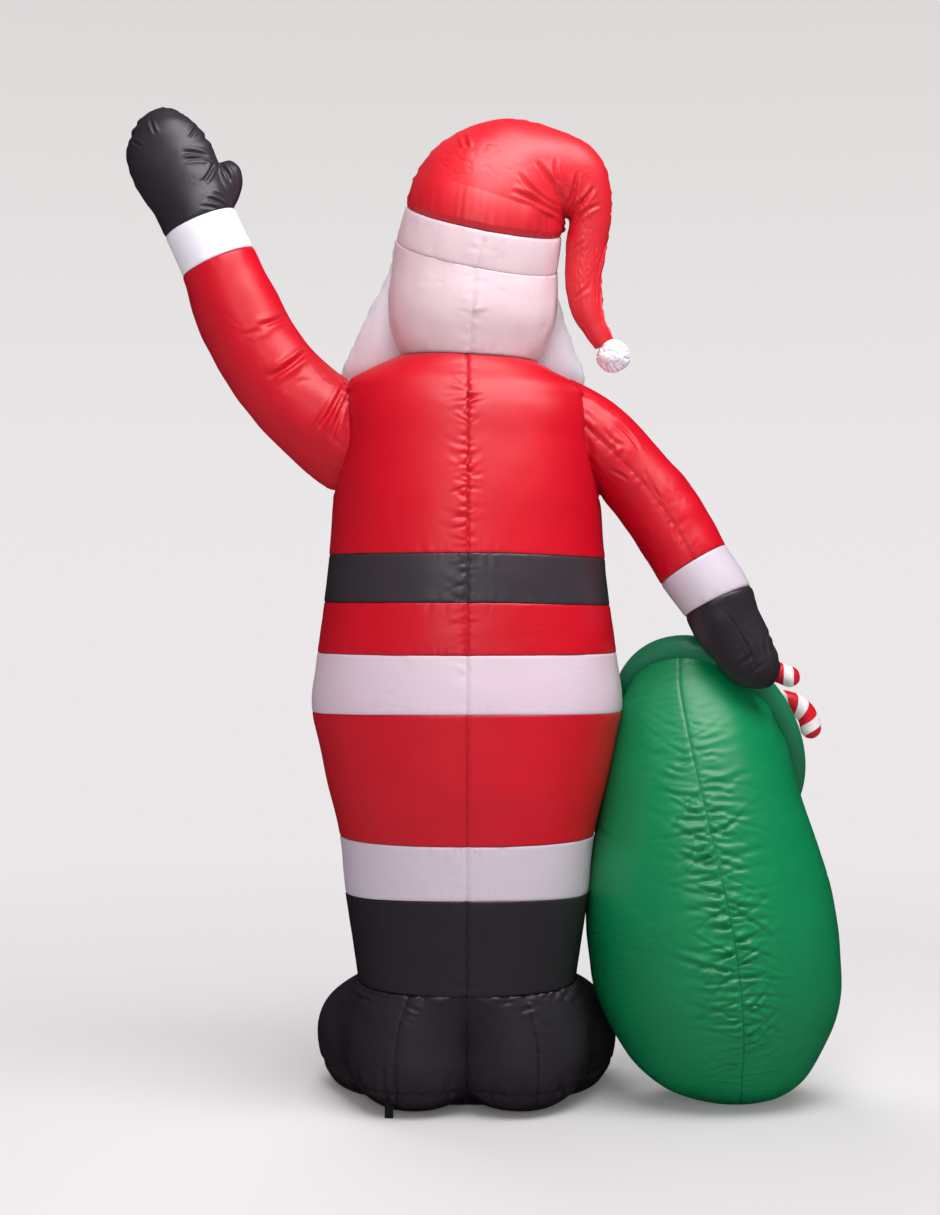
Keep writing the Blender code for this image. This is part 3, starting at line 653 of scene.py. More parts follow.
@dataclass
class Panel:
    """A sheet of cloth sewn into a tube, and the height that seams and folds give each of its points."""

    name: str
    points: Array
    turns: Array
    height: Array = field(init=False)
    seam: Array = field(init=False)
    out: Array = field(init=False)
    across: Array = field(init=False)
    up: Array = field(init=False)

    def __post_init__(self) -> None:
        """Measures the cloth along and across."""
        self.height = np.zeros(self.points.shape[:2])
        self.seam = np.ones(self.points.shape[:2])
        steps = np.linalg.norm(np.diff(self.points, axis=1), axis=2)
        self.across = np.concatenate([np.zeros((len(steps), 1)), np.cumsum(steps, axis=1)], axis=1)
        steps = np.linalg.norm(np.diff(self.points, axis=0), axis=2)
        self.up = np.concatenate([np.zeros((1, steps.shape[1])), np.cumsum(steps, axis=0)])
        self.out = self.outward()

    def outward(self) -> Array:
        """The way out of the cloth at each point."""
        wrapped = np.concatenate([self.points[:, -2:-1], self.points, self.points[:, 1:2]], axis=1)
        round_way = wrapped[:, 2:] - wrapped[:, :-2]
        normal = np.cross(round_way, np.gradient(self.points, axis=0))
        from_middle = self.points - self.points[:, :-1].mean(axis=1, keepdims=True)
        sign = np.sign((normal * from_middle).sum(axis=2).mean())
        return unit(normal) * (sign or 1.0)

    def note_seam(self, distance: Array) -> None:
        """Keeps the distance to the nearest seam, which the finish darkens."""
        self.seam = np.minimum(self.seam, distance)

    def sew_end(self, seam: Seam, last: bool, seed: int) -> None:
        """Gathers the cloth along its first or last row."""
        distance = self.up[-1] - self.up if last else self.up
        length = float(self.across[-1 if last else 0, -1])
        along = np.broadcast_to(np.linspace(0, length, self.points.shape[1]), distance.shape)
        self.sew_line(distance, along, length, seam, seed)

    def sew_column(self, turn: float, seam: Seam, seed: int, strength: Strength = evenly) -> None:
        """Gathers the cloth along a seam that runs the length of the tube."""
        column = int(np.argmin(turn_gap(self.turns, turn)))
        round_length = self.across[:, -1:]
        off = self.across - self.across[:, column : column + 1]
        distance = (off + round_length / 2) % round_length - round_length / 2
        self.sew_line(distance, self.up, float(self.up[-1].mean()), seam, seed, strength)

    def sew_line(
        self,
        distance: Array,
        along: Array,
        length: float,
        seam: Seam,
        seed: int,
        strength: Strength = evenly,
        where: Array | float = 1.0,
    ) -> None:
        """Gathers the cloth along any line, given how far each point is from it and along it."""
        self.height += where * seam.height(distance, along, length, seed, strength)
        self.note_seam(np.abs(distance))

    def crease(self, folds: Sequence[Fold]) -> None:
        """Presses folds into the side that faces the camera."""
        across, down = VIEW.seen(self.points)
        facing = np.clip(self.out[..., 1] * 2.5, 0, 1)
        for fold in folds:
            self.height += facing * fold.height(across, down)

    def rumple(self, depth: float, wave: float, seed: int, stretch: Triple = (1, 1, 1)) -> None:
        """Lays soft random waves and a few fine creases over the cloth."""
        soft = cloud(self.points, wave, seed, stretch)
        fine = cloud(self.points + 0.02 * soft[..., None], wave * 0.45, seed + 1, stretch)
        patch = np.clip(cloud(self.points, wave * 2.2, seed + 2), 0, 1.5)
        self.height += depth * (soft * 0.6 - patch * bell(fine, 0.22))

    def shaped(self) -> Array:
        """The points with their heights."""
        return self.points + self.out * self.height[..., None]

    def mesh(self) -> bpy.types.Mesh:
        """The tube as a closed mesh, with its cloth map and its distances to the seams."""
        rows, columns = self.height.shape
        shape = bmesh.new()
        bmesh.ops.create_grid(shape, x_segments=columns - 1, y_segments=rows - 1, size=0.5)
        mesh = bpy.data.meshes.new(self.name)
        shape.to_mesh(mesh)
        flat = points_of(mesh)
        row = np.rint((flat[:, 1] + 0.5) * (rows - 1)).astype(int)
        column = np.rint((flat[:, 0] + 0.5) * (columns - 1)).astype(int)
        placed = self.shaped()
        placed[:, -1] = placed[:, 0]
        mesh.vertices.foreach_set("co", placed[row, column].ravel())
        lay_chart(mesh, np.stack([self.across.mean(axis=0)[column], self.up.mean(axis=1)[row]], axis=1))
        near = mesh.attributes.new("seam", "FLOAT", "POINT")  # 1 on the stitches, 0 where they don't show
        near.data.foreach_set("value", np.clip(1 - self.seam / SEAM_SHOWS, 0, 1)[row, column])
        shape.clear()
        shape.from_mesh(mesh)
        bmesh.ops.remove_doubles(shape, verts=[v for v in shape.verts if v.is_boundary], dist=1e-7)
        rim = [edge for edge in shape.edges if edge.is_boundary]
        bmesh.ops.holes_fill(shape, edges=rim)
        bmesh.ops.recalc_face_normals(shape, faces=shape.faces)
        shape.to_mesh(mesh)
        shape.free()
        mesh.shade_smooth()
        return mesh


def ball(name: str, middle: Sequence[float], radii: Triple, columns: int = 97) -> Panel:
    """A round panel, with its two ends above and below."""
    shares = np.linspace(0.02, math.pi - 0.02, columns * 5 // 8)
    middles = np.array(middle) + rows_of(0, 0, -radii[2] * np.cos(shares))
    wides, deeps = rows_of(radii[0] * np.sin(shares), 0, 0), rows_of(0, radii[1] * np.sin(shares), 0)
    turns = np.linspace(0, 2 * math.pi, columns)
    return Panel(name, tube(middles, wides, deeps, turns), turns)


def grown(name: str, shape: bmesh.types.BMesh) -> bpy.types.Mesh:
    """A finished shape as a new mesh."""
    mesh = bpy.data.meshes.new(name)
    shape.to_mesh(mesh)
    shape.free()
    return mesh


def dress(name: str, mesh: bpy.types.Mesh, finish: Cloth, *nodes: str) -> bpy.types.Object:
    """Makes a finished piece of the figure.

    Args:
        name: The piece's name.
        mesh: Its shape.
        finish: Its cloth.
        nodes: The CAD nodes that it stands for.

    Returns:
        The piece, riding on the figure.
    """
    piece = bpy.data.objects.new(f"{name}_cloth", mesh)
    bpy.context.scene.collection.objects.link(piece)
    mesh.materials.clear()
    mesh.materials.append(finish.material())
    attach(piece, "root")
    if nodes:
        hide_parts(*nodes)
    LOG.info("%s: %d points", name, len(mesh.vertices))
    return piece


def joined(*meshes: bpy.types.Mesh) -> bpy.types.Mesh:
    """Several meshes as one."""
    shape = bmesh.new()
    for mesh in meshes:
        shape.from_mesh(mesh)
    whole = meshes[0]
    shape.to_mesh(whole)
    shape.free()
    whole.shade_smooth()
    return whole


def fused(name: str, meshes: Sequence[bpy.types.Mesh], cell: float = 0.0026, rounds: int = 5) -> bpy.types.Mesh:
    """Several closed meshes blended into one skin, with its cloth map laid from behind.

    Args:
        name: The new mesh's name.
        meshes: What to blend.
        cell: How fine the skin is, in metres.
        rounds: How often the skin is smoothed.

    Returns:
        The skin.
    """
    block = bpy.data.objects.new(name, joined(*meshes))
    bpy.context.scene.collection.objects.link(block)
    remesh = block.modifiers.new("skin", "REMESH")
    remesh.mode = "VOXEL"
    remesh.voxel_size = cell
    smoothing = block.modifiers.new("smooth", "SMOOTH")
    smoothing.iterations = rounds
    mesh = bpy.data.meshes.new_from_object(block.evaluated_get(bpy.context.evaluated_depsgraph_get()))
    bpy.data.objects.remove(block)
    mesh.name = name
    lay_chart(mesh, points_of(mesh)[:, (0, 2)])
    mesh.attributes.new("seam", "FLOAT", "POINT")
    mesh.shade_smooth()
    return mesh


def points_of(mesh: bpy.types.Mesh, what: str = "co") -> Array:
    """A mesh's points, or what else is known of each, one to a row."""
    flat = np.empty(len(mesh.vertices) * 3)
    mesh.vertices.foreach_get(what, flat)
    return flat.reshape(-1, 3)


def lay_chart(mesh: bpy.types.Mesh, places: Array) -> None:
    """Gives a mesh its cloth map: the place of each point on the flat cloth."""
    corner = np.empty(len(mesh.loops), int)
    mesh.loops.foreach_get("vertex_index", corner)
    mesh.uv_layers.new(name="cloth").data.foreach_set("uv", places[corner].ravel())


def pressed(mesh: bpy.types.Mesh, folds: Sequence[Fold]) -> bpy.types.Mesh:
    """Presses folds into the side of a mesh that faces the camera."""
    points, out = points_of(mesh), points_of(mesh, "normal")
    facing = np.clip(out[:, 1] * 2.5, 0, 1)
    across, down = VIEW.seen(points)
    for fold in folds:
        points = points + out * (facing * fold.height(across, down))[:, None]
    mesh.vertices.foreach_set("co", points.ravel())
    mesh.update()
    return mesh


def sliced(mesh: bpy.types.Mesh, point: Sequence[float], keep: Sequence[float]) -> bpy.types.Mesh:
    """Leaves what lies on the side of a plane that the keep vector points to, and closes the cut."""
    shape = bmesh.new()
    shape.from_mesh(mesh)
    everything = shape.verts[:] + shape.edges[:] + shape.faces[:]
    cut = bmesh.ops.bisect_plane(shape, geom=everything, plane_co=point, plane_no=keep, clear_inner=True)
    edges = [item for item in cut["geom_cut"] if isinstance(item, bmesh.types.BMEdge)]
    bmesh.ops.edgenet_fill(shape, edges=edges)
    bmesh.ops.recalc_face_normals(shape, faces=shape.faces)
    shape.to_mesh(mesh)
    shape.free()
    mesh.shade_smooth()
    return mesh


# The body


@dataclass
class Torso:
    """The stack of panels from the ankles to the neck."""

    sections: Table = (
        (ANKLE_Z, 262, 256, 0),
        (SHAFT_TOP, 294, 284, -4),
        (BAND_TOP, 308, 298, -8),
        (BAND_TOP + 0.48 * TROUSER_HEIGHT, 342, 318, -12),
        (BAND_TOP + 0.80 * TROUSER_HEIGHT, 362, 326, -16),
        (HEM_Z, 375, 330, -18),
        (HEM_TOP, 362, 324, -20),
        (WAIST_Z, 346, 312, -20),
        (BELT_TOP, 334, 300, -18),
        (BELT_TOP + 0.32 * COAT_HEIGHT, 322, 274, -12),
        (BELT_TOP + 0.58 * COAT_HEIGHT, 309, 240, -6),
        (BELT_TOP + 0.79 * COAT_HEIGHT, 300, 208, 0),
        (BELT_TOP + 0.87 * COAT_HEIGHT, 284, 190, 0),
        (BELT_TOP + 0.925 * COAT_HEIGHT, 240, 172, 0),
        (BELT_TOP + 0.965 * COAT_HEIGHT, 203, 160, 0),
        (NECK_Z, 166, 148, 0),
    )
    power: float = 2.25
    slope: float = 0.045
    step: float = 0.003
    columns: int = 341
    gathers: Table = (  # levels, and how strongly the back and front seams gather the cloth there
        (0.3, 0.95, 1.15, 1.30, 1.42, 1.66, 1.70, 1.79),
        (0.15, 0.1, 0.35, 0.5, 0.8, 1.1, 0.2, 0.1),
    )

    def panel(self, name: str, low: float, high: float) -> Panel:
        """The plain tube between two levels."""
        levels = np.linspace(low + SEAM_GAP / 2, high - SEAM_GAP / 2, rows_for(high - low, self.step))
        half_width, half_depth, middle_y = read(self.sections, levels)
        turns = even_turns(self.columns, self.power, (BACK, FRONT))
        wides, deeps = rows_of(half_width, 0, 0), rows_of(0, half_depth, 0)
        points = tube(rows_of(0, middle_y, levels), wides, deeps, turns, self.power)
        rise = 0.012 * bell(levels - SHAFT_TOP, 0.05) + 0.008 * bell(levels - HEM_Z, 0.06)
        points[..., 2] += rise[:, None] * np.clip(np.sin(turns), 0, 1) ** 2
        droop = 0.014 * bell(levels - BELT_TOP + 0.05, 0.09)
        points[..., 2] -= droop[:, None] * np.clip(-points[..., 0] / 0.28 - 0.3, 0, 1)
        share = np.clip((levels - BELT_TOP) / COAT_HEIGHT, 0, 1)[:, None]
        points[..., 2] += self.slope * share * points[..., 0]
        return Panel(name, points, turns)

    def outside(self, points: Array) -> Array:
        """About how far points are outside the body."""
        levels = np.clip(points[..., 2] - self.slope * 0.8 * points[..., 0], ANKLE_Z, NECK_Z)
        half_width, half_depth, middle_y = read(self.sections, levels.ravel()).reshape(3, *levels.shape)
        x = np.abs(points[..., 0]) / half_width
        y = np.abs(points[..., 1] - middle_y) / half_depth
        share = (x**self.power + y**self.power) ** (1 / self.power)
        return (share - 1) * np.minimum(half_width, half_depth)

    def gathering(self, low: float, high: float) -> Strength:
        """How strongly the long seams gather the cloth at each share of a panel."""
        return lambda share: float(np.interp(low + share * (high - low), *self.gathers))

    def build(self, arms: Sequence["Limb"]) -> None:
        """Makes every panel of the body."""
        band = Seam(depth=0.0014, reach=0.007, tuck=0.0009, gap=0.026, length=0.045, width=0.009)
        firm = Seam(
            depth=0.0035, reach=0.012, tuck=0.0040, gap=0.009, length=0.055, width=0.0055, sides=(1.25, 0.75)
        )
        for name, low, high, cloth, seed in (
            ("boot_shafts", ANKLE_Z, SHAFT_TOP, BLACK, 110),
            # the trouser band's white is the darkest pink copy: painted shade and painted glow
            ("trouser_band", SHAFT_TOP, BAND_TOP, DEEP_SHADED_PINK_WHITE, 120),
            ("trousers", BAND_TOP, HEM_Z, RED, 130),
            # the hem band's white is darker and pink: painted shade and painted glow
            ("coat_hem_band", HEM_Z, HEM_TOP, SHADED_PINK_WHITE, 140),
            ("coat_skirt", HEM_TOP, WAIST_Z, RED, 150),
            ("belt", WAIST_Z, BELT_TOP, BELT, 160),
            ("coat", BELT_TOP, NECK_Z, RED, 170),
        ):
            panel = self.panel(name, low, high)
            panel.sew_end(band, False, seed)
            panel.sew_end(band, True, seed + 1)
            panel.sew_column(BACK, firm, seed + 2, self.gathering(low, high))
            panel.sew_column(FRONT, firm, seed + 3, self.gathering(low, high))
            if name == "coat":
                for arm in arms:
                    arm.armhole(panel)
            panel.rumple(0.0005, 0.13, seed + 4, (1.0, 1.0, 0.7))
            dress(name, panel.mesh(), cloth, name)


BOOT_FOLDS = (
    Fold((346, 990), (372, 1002), 3.0, 0.0030, 1),
    Fold((352, 984), (392, 1000), 2.6, 0.0026, 2),
    Fold((338, 1000), (350, 1030), 4.0, 0.0024, -2),
    Fold((402, 1003), (420, 1012), 2.6, 0.0028, 1),
    Fold((403, 1010), (416, 1018), 2.4, 0.0022, 1),
    Fold((404, 1019), (412, 1024), 2.2, 0.0020, 0),
    Fold((496, 1004), (516, 1001), 2.6, 0.0020, 1),
    Fold((520, 1013), (536, 1007), 2.6, 0.0026, -1),
    Fold((540, 1018), (549, 1030), 2.6, 0.0028, 1),
    Fold((534, 1036), (545, 1043), 2.2, 0.0026, 0),
    Fold((536, 1050), (545, 1058), 2.2, 0.0024, 0),
    Fold((552, 1000), (560, 984), 3.0, 0.0032, 1),
    Fold((561, 1002), (571, 984), 3.0, 0.0030, 1),
    Fold((572, 1004), (584, 988), 3.4, 0.0026, 1),
    Fold((545, 1000), (549, 990), 2.4, 0.0026, 0),
    Fold((382, 1066), (389, 1104), 3.2, 0.0055, 2),
    Fold((392, 1078), (391, 1104), 3.0, 0.0040, -1),
    Fold((356, 1068), (364, 1094), 4.0, 0.0036, 3),
    Fold((345, 1060), (352, 1082), 4.0, 0.0034, 2),
    Fold((450, 1070), (464, 1092), 3.6, 0.0034, -2),
    Fold((484, 1070), (471, 1092), 3.6, 0.0034, 2),
    Fold((560, 1078), (568, 1098), 4.0, 0.0034, 2),
    Fold((580, 1066), (590, 1082), 4.0, 0.0034, 2),
)


@dataclass
class Boots:
    """Both boots, each blown up round its own foot and sewn to the other along the middle."""

    heel: tuple[float, ...] = (120, 20, 178, 226, 0)  # an oval's middle, half width, half length and turn
    toe: tuple[float, ...] = (198, -200, 178, 262, 7)
    start: Pair = (0.150, -0.040)
    ankle_start: Pair = (0.120, 0.0)
    outer_trim: float = 0.015
    widest: float = 0.46  # where a boot is widest, as a share of its height
    girth: float = 0.45
    sole_inset: float = 0.14
    shoulder: Pair = (2.0, 0.95)
    sole_seam: float = 0.060
    tab_tuck: float = 0.012  # how far the tab is sewn in under the heel
    columns: int = 300

    def reach(self, ways: Array, plan: tuple) -> Array:
        """How far rays from the middle of the foot run before they leave an oval."""
        x, y, half_width, half_length = (value * PART for value in plan[:4])
        turn = math.radians(plan[4])
        spin = np.array([[math.cos(turn), math.sin(turn)], [-math.sin(turn), math.cos(turn)]])
        scale = np.array([1 / half_width, 1 / half_length])
        p = spin @ (np.array(self.start) - (x, y)) * scale
        d = (ways @ spin.T) * scale
        a, b, c = (d * d).sum(axis=1), 2 * (d @ p), p @ p - 1
        under = b * b - 4 * a * c
        return np.where(under > 0, (-b + np.sqrt(np.maximum(under, 0))) / (2 * a), 0.0)

    def filled(self, reach: Array) -> Array:
        """Rounds off the hollow where the heel runs into the toe."""
        for width in (24, 16, 10):
            ring = np.concatenate([reach[-width - 1 : -1], reach, reach[1 : width + 1]])
            reach = np.maximum(reach, np.convolve(ring, np.ones(2 * width + 1) / (2 * width + 1), "valid"))
        return reach

    def ankle_reach(self, ways: Array, torso: Torso) -> Array:
        """How far rays run before they meet the ankle seam."""
        half_width, half_depth, _ = read(torso.sections, np.array([ANKLE_Z]))[:, 0]
        low, high = np.zeros(len(ways)), np.full(len(ways), 4 * half_width)
        for _ in range(40):
            middle = (low + high) / 2
            x, y = (np.array(self.ankle_start)[:, None] + ways.T * middle)
            inside = np.abs(x / half_width) ** torso.power + np.abs(y / half_depth) ** torso.power < 1
            low, high = np.where(inside, middle, low), np.where(inside, high, middle)
        return low

    def profile(self, z: float) -> Pair:
        """How much of the foot's spread is left at a height, and how far the sole is drawn in there."""
        wide_z = self.widest * ANKLE_Z
        if z <= wide_z:
            return 1.0, self.sole_inset * (1 - math.sqrt(max(0, 1 - (1 - z / wide_z) ** 2)))
        rise = (z - wide_z) / (ANKLE_Z - wide_z)
        return max(0.0, 1 - rise ** self.shoulder[0]) ** self.shoulder[1], 0.0

    def side(self, torso: Torso, mirror: int) -> Panel:
        """One boot as a plain panel."""
        turns = even_turns(self.columns)
        ways = np.stack([np.cos(turns), np.sin(turns)], axis=1)
        wide = self.filled(np.maximum(self.reach(ways, self.toe), self.reach(ways, self.heel)))
        wide = wide - self.outer_trim * np.clip(ways[:, 0], 0, 1)
        narrow = self.ankle_reach(ways, torso)
        outer = np.clip(3 + 3 * ways[:, 0], 0, 1)
        rear = 0.6 + 0.4 * np.clip(1.5 * ways[:, 1], 0, 1)
        wide_z = self.widest * ANKLE_Z
        bend = np.linspace(-1, 1, rows_for(self.girth))
        swing = np.sin(np.abs(bend) * math.pi / 2)
        rows = []
        for z in np.where(bend < 0, wide_z * (1 - swing), wide_z + (ANKLE_Z - wide_z) * swing):
            spread, inset = self.profile(z)
            foot = np.array(self.start) + ways * (wide - inset * outer * rear)[:, None]
            ankle = np.array(self.ankle_start) + ways * narrow[:, None]
            plan = foot * spread + ankle * (1 - spread)
            plan[:, 0] = np.maximum(plan[:, 0], -0.001) * mirror  # the two overlap a little in the middle
            rows.append(np.column_stack([plan, np.full(len(plan), z)]))
        return Panel("boots", np.array(rows), turns)

    def build(self, torso: Torso) -> None:
        """Makes the boots, with their seams and gathers."""
        sole = Seam(depth=0.005, reach=0.014, tuck=0.0045, gap=0.016, length=0.040, width=0.008)
        ankle = Seam(depth=0.003, reach=0.012, tuck=0.0045, gap=0.014, length=0.050, width=0.008)
        side = Seam(depth=0.0030, reach=0.010, tuck=0.0022, gap=0.014, length=0.035)
        meshes = []
        for mirror, seed in ((1, 31), (-1, 32)):
            panel = self.side(torso, mirror)
            level = panel.points[..., 2]
            away = np.clip((np.abs(panel.points[..., 0]) - 0.006) / 0.02, 0, 1)
            length = float(panel.across[len(level) // 3, -1])
            along = np.broadcast_to(np.linspace(0, length, panel.points.shape[1]), level.shape)
            panel.sew_line(level - self.sole_seam, along, length, sole, seed * 10, where=away)
            panel.sew_end(ankle, True, seed * 10 + 1)
            panel.sew_column(math.radians(87), side, seed * 10 + 2)
            panel.sew_column(math.radians(-80), side, seed * 10 + 3)
            panel.rumple(0.0012, 0.12, seed * 10 + 4)
            panel.crease(BOOT_FOLDS)
            panel.height *= away * np.clip(level / 0.02, 0, 1)
            meshes.append(panel.mesh())
        for mesh in meshes:
            mesh.set_sharp_from_angle(angle=math.radians(55))
        dress("boots", joined(*meshes), BLACK, "boots")
        self.tab(torso)

    def tab(self, torso: Torso) -> None:
        """The webbing tab at the left heel."""
        low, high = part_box("tether_tab")
        high.z += self.tab_tuck
        middle, size = (low + high) / 2, high - low
        shape = bmesh.new()
        bmesh.ops.create_cube(shape, size=1)
        place = Matrix.Translation(middle) @ Matrix.Diagonal((*size, 1))
        bmesh.ops.transform(shape, matrix=place, verts=shape.verts)
        edges = shape.edges[:]
        bmesh.ops.bevel(shape, geom=edges, offset=0.0007, segments=2, profile=0.5, affect="EDGES", material=-1)
        dress("tether_tab", grown("tether_tab", shape), WEBBING, "tether_tab")


# Arms


def towards_fingers(share: float) -> float:
    """A mitten's side seams gather more towards the fingers."""
    return min(1.0, max(0.15, share * 2 - 0.5))


@dataclass
class Limb:
    """A sleeve, its cuff and its mitten along one line of stations."""

    side: str
    arm: Table
    hand: Table
    cuff: float = 0.105
    armhole_round: float = 0.7
    columns: int = 145

    def __post_init__(self) -> None:
        """Reads the stations once."""
        self.rows = np.array(self.arm + self.hand, float) * PART
        self.rows[:, 2] += CHIN_Z
        steps = np.linalg.norm(np.diff(self.rows[:, :3], axis=0), axis=1)
        self.knots = np.concatenate([[0], np.cumsum(steps)])
        self.wrist = float(self.knots[len(self.arm) - 1])

    def panel(self, name: str, start: float, end: float) -> Panel:
        """The plain tube between two distances along the limb."""
        at = np.linspace(start, end, rows_for(end - start))
        places = smooth(self.knots, self.rows, at)
        ahead = smooth(self.knots, self.rows[:, :3], np.minimum(at + 1e-3, self.knots[-1]))
        behind = smooth(self.knots, self.rows[:, :3], np.maximum(at - 1e-3, 0))
        along = unit(ahead - behind)
        wide = unit(np.cross(along, (0, 1, 0)))
        deep = np.cross(wide, along)
        turns = even_turns(self.columns)
        points = tube(places[:, :3], wide * places[:, 3:4], deep * places[:, 4:5], turns)
        return Panel(name, points, turns)

    def outside(self, points: Array) -> tuple[Array, Array]:
        """How far points are outside the sleeve, and the turn round it that they lie at."""
        at = np.linspace(0, self.wrist, 60)
        rows = smooth(self.knots, self.rows, at)
        gaps = points[..., None, :] - rows[:, :3]
        away = np.linalg.norm(gaps, axis=-1) - rows[:, 3:5].mean(axis=1)
        nearest = np.argmin(away, axis=-1)
        gap = np.take_along_axis(gaps, nearest[..., None, None], axis=-2)[..., 0, :]
        along = unit(np.gradient(rows[:, :3], axis=0))[nearest]
        wide = unit(np.cross(along, (0, 1, 0)))
        turn = np.arctan2(gap[..., 1], (gap * wide).sum(axis=-1))
        return np.take_along_axis(away, nearest[..., None], axis=-1)[..., 0], turn

    def armhole(self, coat: Panel) -> None:
        """Gathers the coat where this sleeve is sewn in."""
        near = coat.points[..., 0] * (1 if self.side == "left" else -1) > 0.1
        distance, turn = self.outside(coat.points)
        distance = np.where(near, np.abs(distance), 1.0)
        seam = Seam(depth=0.005, reach=0.016, tuck=0.0016, gap=0.022)
        coat.sew_line(distance, (turn / (2 * math.pi)) % 1 * self.armhole_round, self.armhole_round, seam, 57)

    def build(self, torso: Torso, folds: dict[str, Sequence[Fold]]) -> None:
        """Makes the sleeve, the cuff and the mitten."""
        seam_at = self.wrist - self.cuff
        seed = 51 if self.side == "left" else 61
        band = Seam(depth=0.0014, reach=0.007, tuck=0.0009, gap=0.022, length=0.035, width=0.008)
        firm = Seam(depth=0.003, reach=0.012, tuck=0.0020, gap=0.016, length=0.040)
        armhole = Seam(depth=0.005, reach=0.016, tuck=0.0030, gap=0.020, length=0.060, width=0.007)
        sleeve = self.panel(f"sleeve_{self.side}", 0, seam_at)
        distance = np.abs(torso.outside(sleeve.points))
        along = np.broadcast_to(sleeve.turns / (2 * math.pi) * self.armhole_round, distance.shape)
        sleeve.sew_line(distance, along, self.armhole_round, armhole, seed)
        sleeve.sew_end(band, True, seed + 1)
        sleeve.sew_column(BACK if self.side == "right" else FRONT, firm, seed + 2)
        sleeve.crease(folds.get("sleeve", ()))
        sleeve.rumple(0.0010, 0.10, seed + 3)
        dress(sleeve.name, sleeve.mesh(), RED, sleeve.name)
        cuff = self.panel(f"cuff_{self.side}", seam_at + SEAM_GAP, self.wrist)
        cuff.sew_end(band, False, seed + 4)
        cuff.sew_end(band, True, seed + 5)
        # the lit left cuff is plain white; the hanging right cuff gets the darker pink copy, which is painted shade
        # and glow
        dress(cuff.name, cuff.mesh(), WHITE if self.side == "left" else DEEP_SHADED_PINK_WHITE, cuff.name)
        self.mitten(folds.get("mitten", ()), seed)

    def mitten(self, folds: Sequence[Fold], seed: int) -> None:
        """Makes the mitten, and its thumb on the raised hand."""
        name = f"mitten_{self.side}"
        hand = self.panel(name, self.wrist + SEAM_GAP, float(self.knots[-1]))
        edge = Seam(depth=0.005, reach=0.014, tuck=0.0048, gap=0.014, length=0.045, width=0.007)
        hand.sew_end(Seam(depth=0.003, reach=0.012, tuck=0.0012, gap=0.02), False, seed + 6)
        hand.sew_column(0, edge, seed + 7, towards_fingers)
        hand.sew_column(math.pi, edge, seed + 8, towards_fingers)
        hand.rumple(0.0010, 0.08, seed + 9)
        hand.height += 0.004 * np.clip(hand.up / 0.05, 0, 1)
        if self.side == "right":
            hand.crease(folds)
            dress(name, hand.mesh(), BLACK, name)
            return
        thumb = Limb("thumb", LEFT_THUMB, ())
        mesh = fused(name, (hand.mesh(), thumb.panel("thumb", 0, thumb.wrist).mesh()))
        before, start, after = self.rows[len(self.arm) - 2 : len(self.arm) + 1, :3]
        way = unit(after - before)
        mesh = sliced(mesh, start + way * SEAM_GAP, way)
        dress(name, pressed(mesh, folds), BLACK, name)


LEFT_ARM = (
    (215, 0, -262, 118, 108),
    (306, 0, -198, 122, 112),
    (356, 0, -158, 118, 110),
    (435, 0, -86, 111, 104),
    (501, 0, 0, 106, 100),
    (560, 0, 114, 104, 97),
    (601, 0, 218, 93, 90),
    (646, -2, 316, 91, 82),
)
LEFT_HAND = (
    (672, -4, 380, 93, 72),
    (705, -6, 442, 102, 68),
    (723, -6, 486, 101, 63),
    (730, -5, 534, 83, 52),
    (732, -4, 570, 54, 36),
    (732, -3, 589, 25, 18),
    (732, -3, 595, 8, 6),
)
LEFT_THUMB = (
    (655, -8, 318, 50, 46),
    (622, -10, 368, 52, 44),
    (597, -11, 408, 50, 40),
    (582, -12, 443, 38, 31),
    (577, -12, 463, 21, 17),
    (576, -12, 471, 6, 6),
)
RIGHT_ARM = (
    (-205, 0, -112, 70, 90),
    (-257, 3, -160, 88, 100),
    (-315, 6, -214, 99, 102),
    (-399, 16, -296, 91, 96),
    (-461, 30, -372, 94, 93),
    (-549, 55, -521, 90, 88),
    (-599, 70, -599, 86, 82),
)
RIGHT_HAND = (
    (-616, 78, -644, 81, 68),
    (-643, 85, -688, 73, 58),
    (-673, 90, -736, 65, 50),
    (-702, 92, -773, 48, 38),
    (-714, 92, -793, 25, 20),
    (-718, 92, -800, 8, 7),
)


# The head


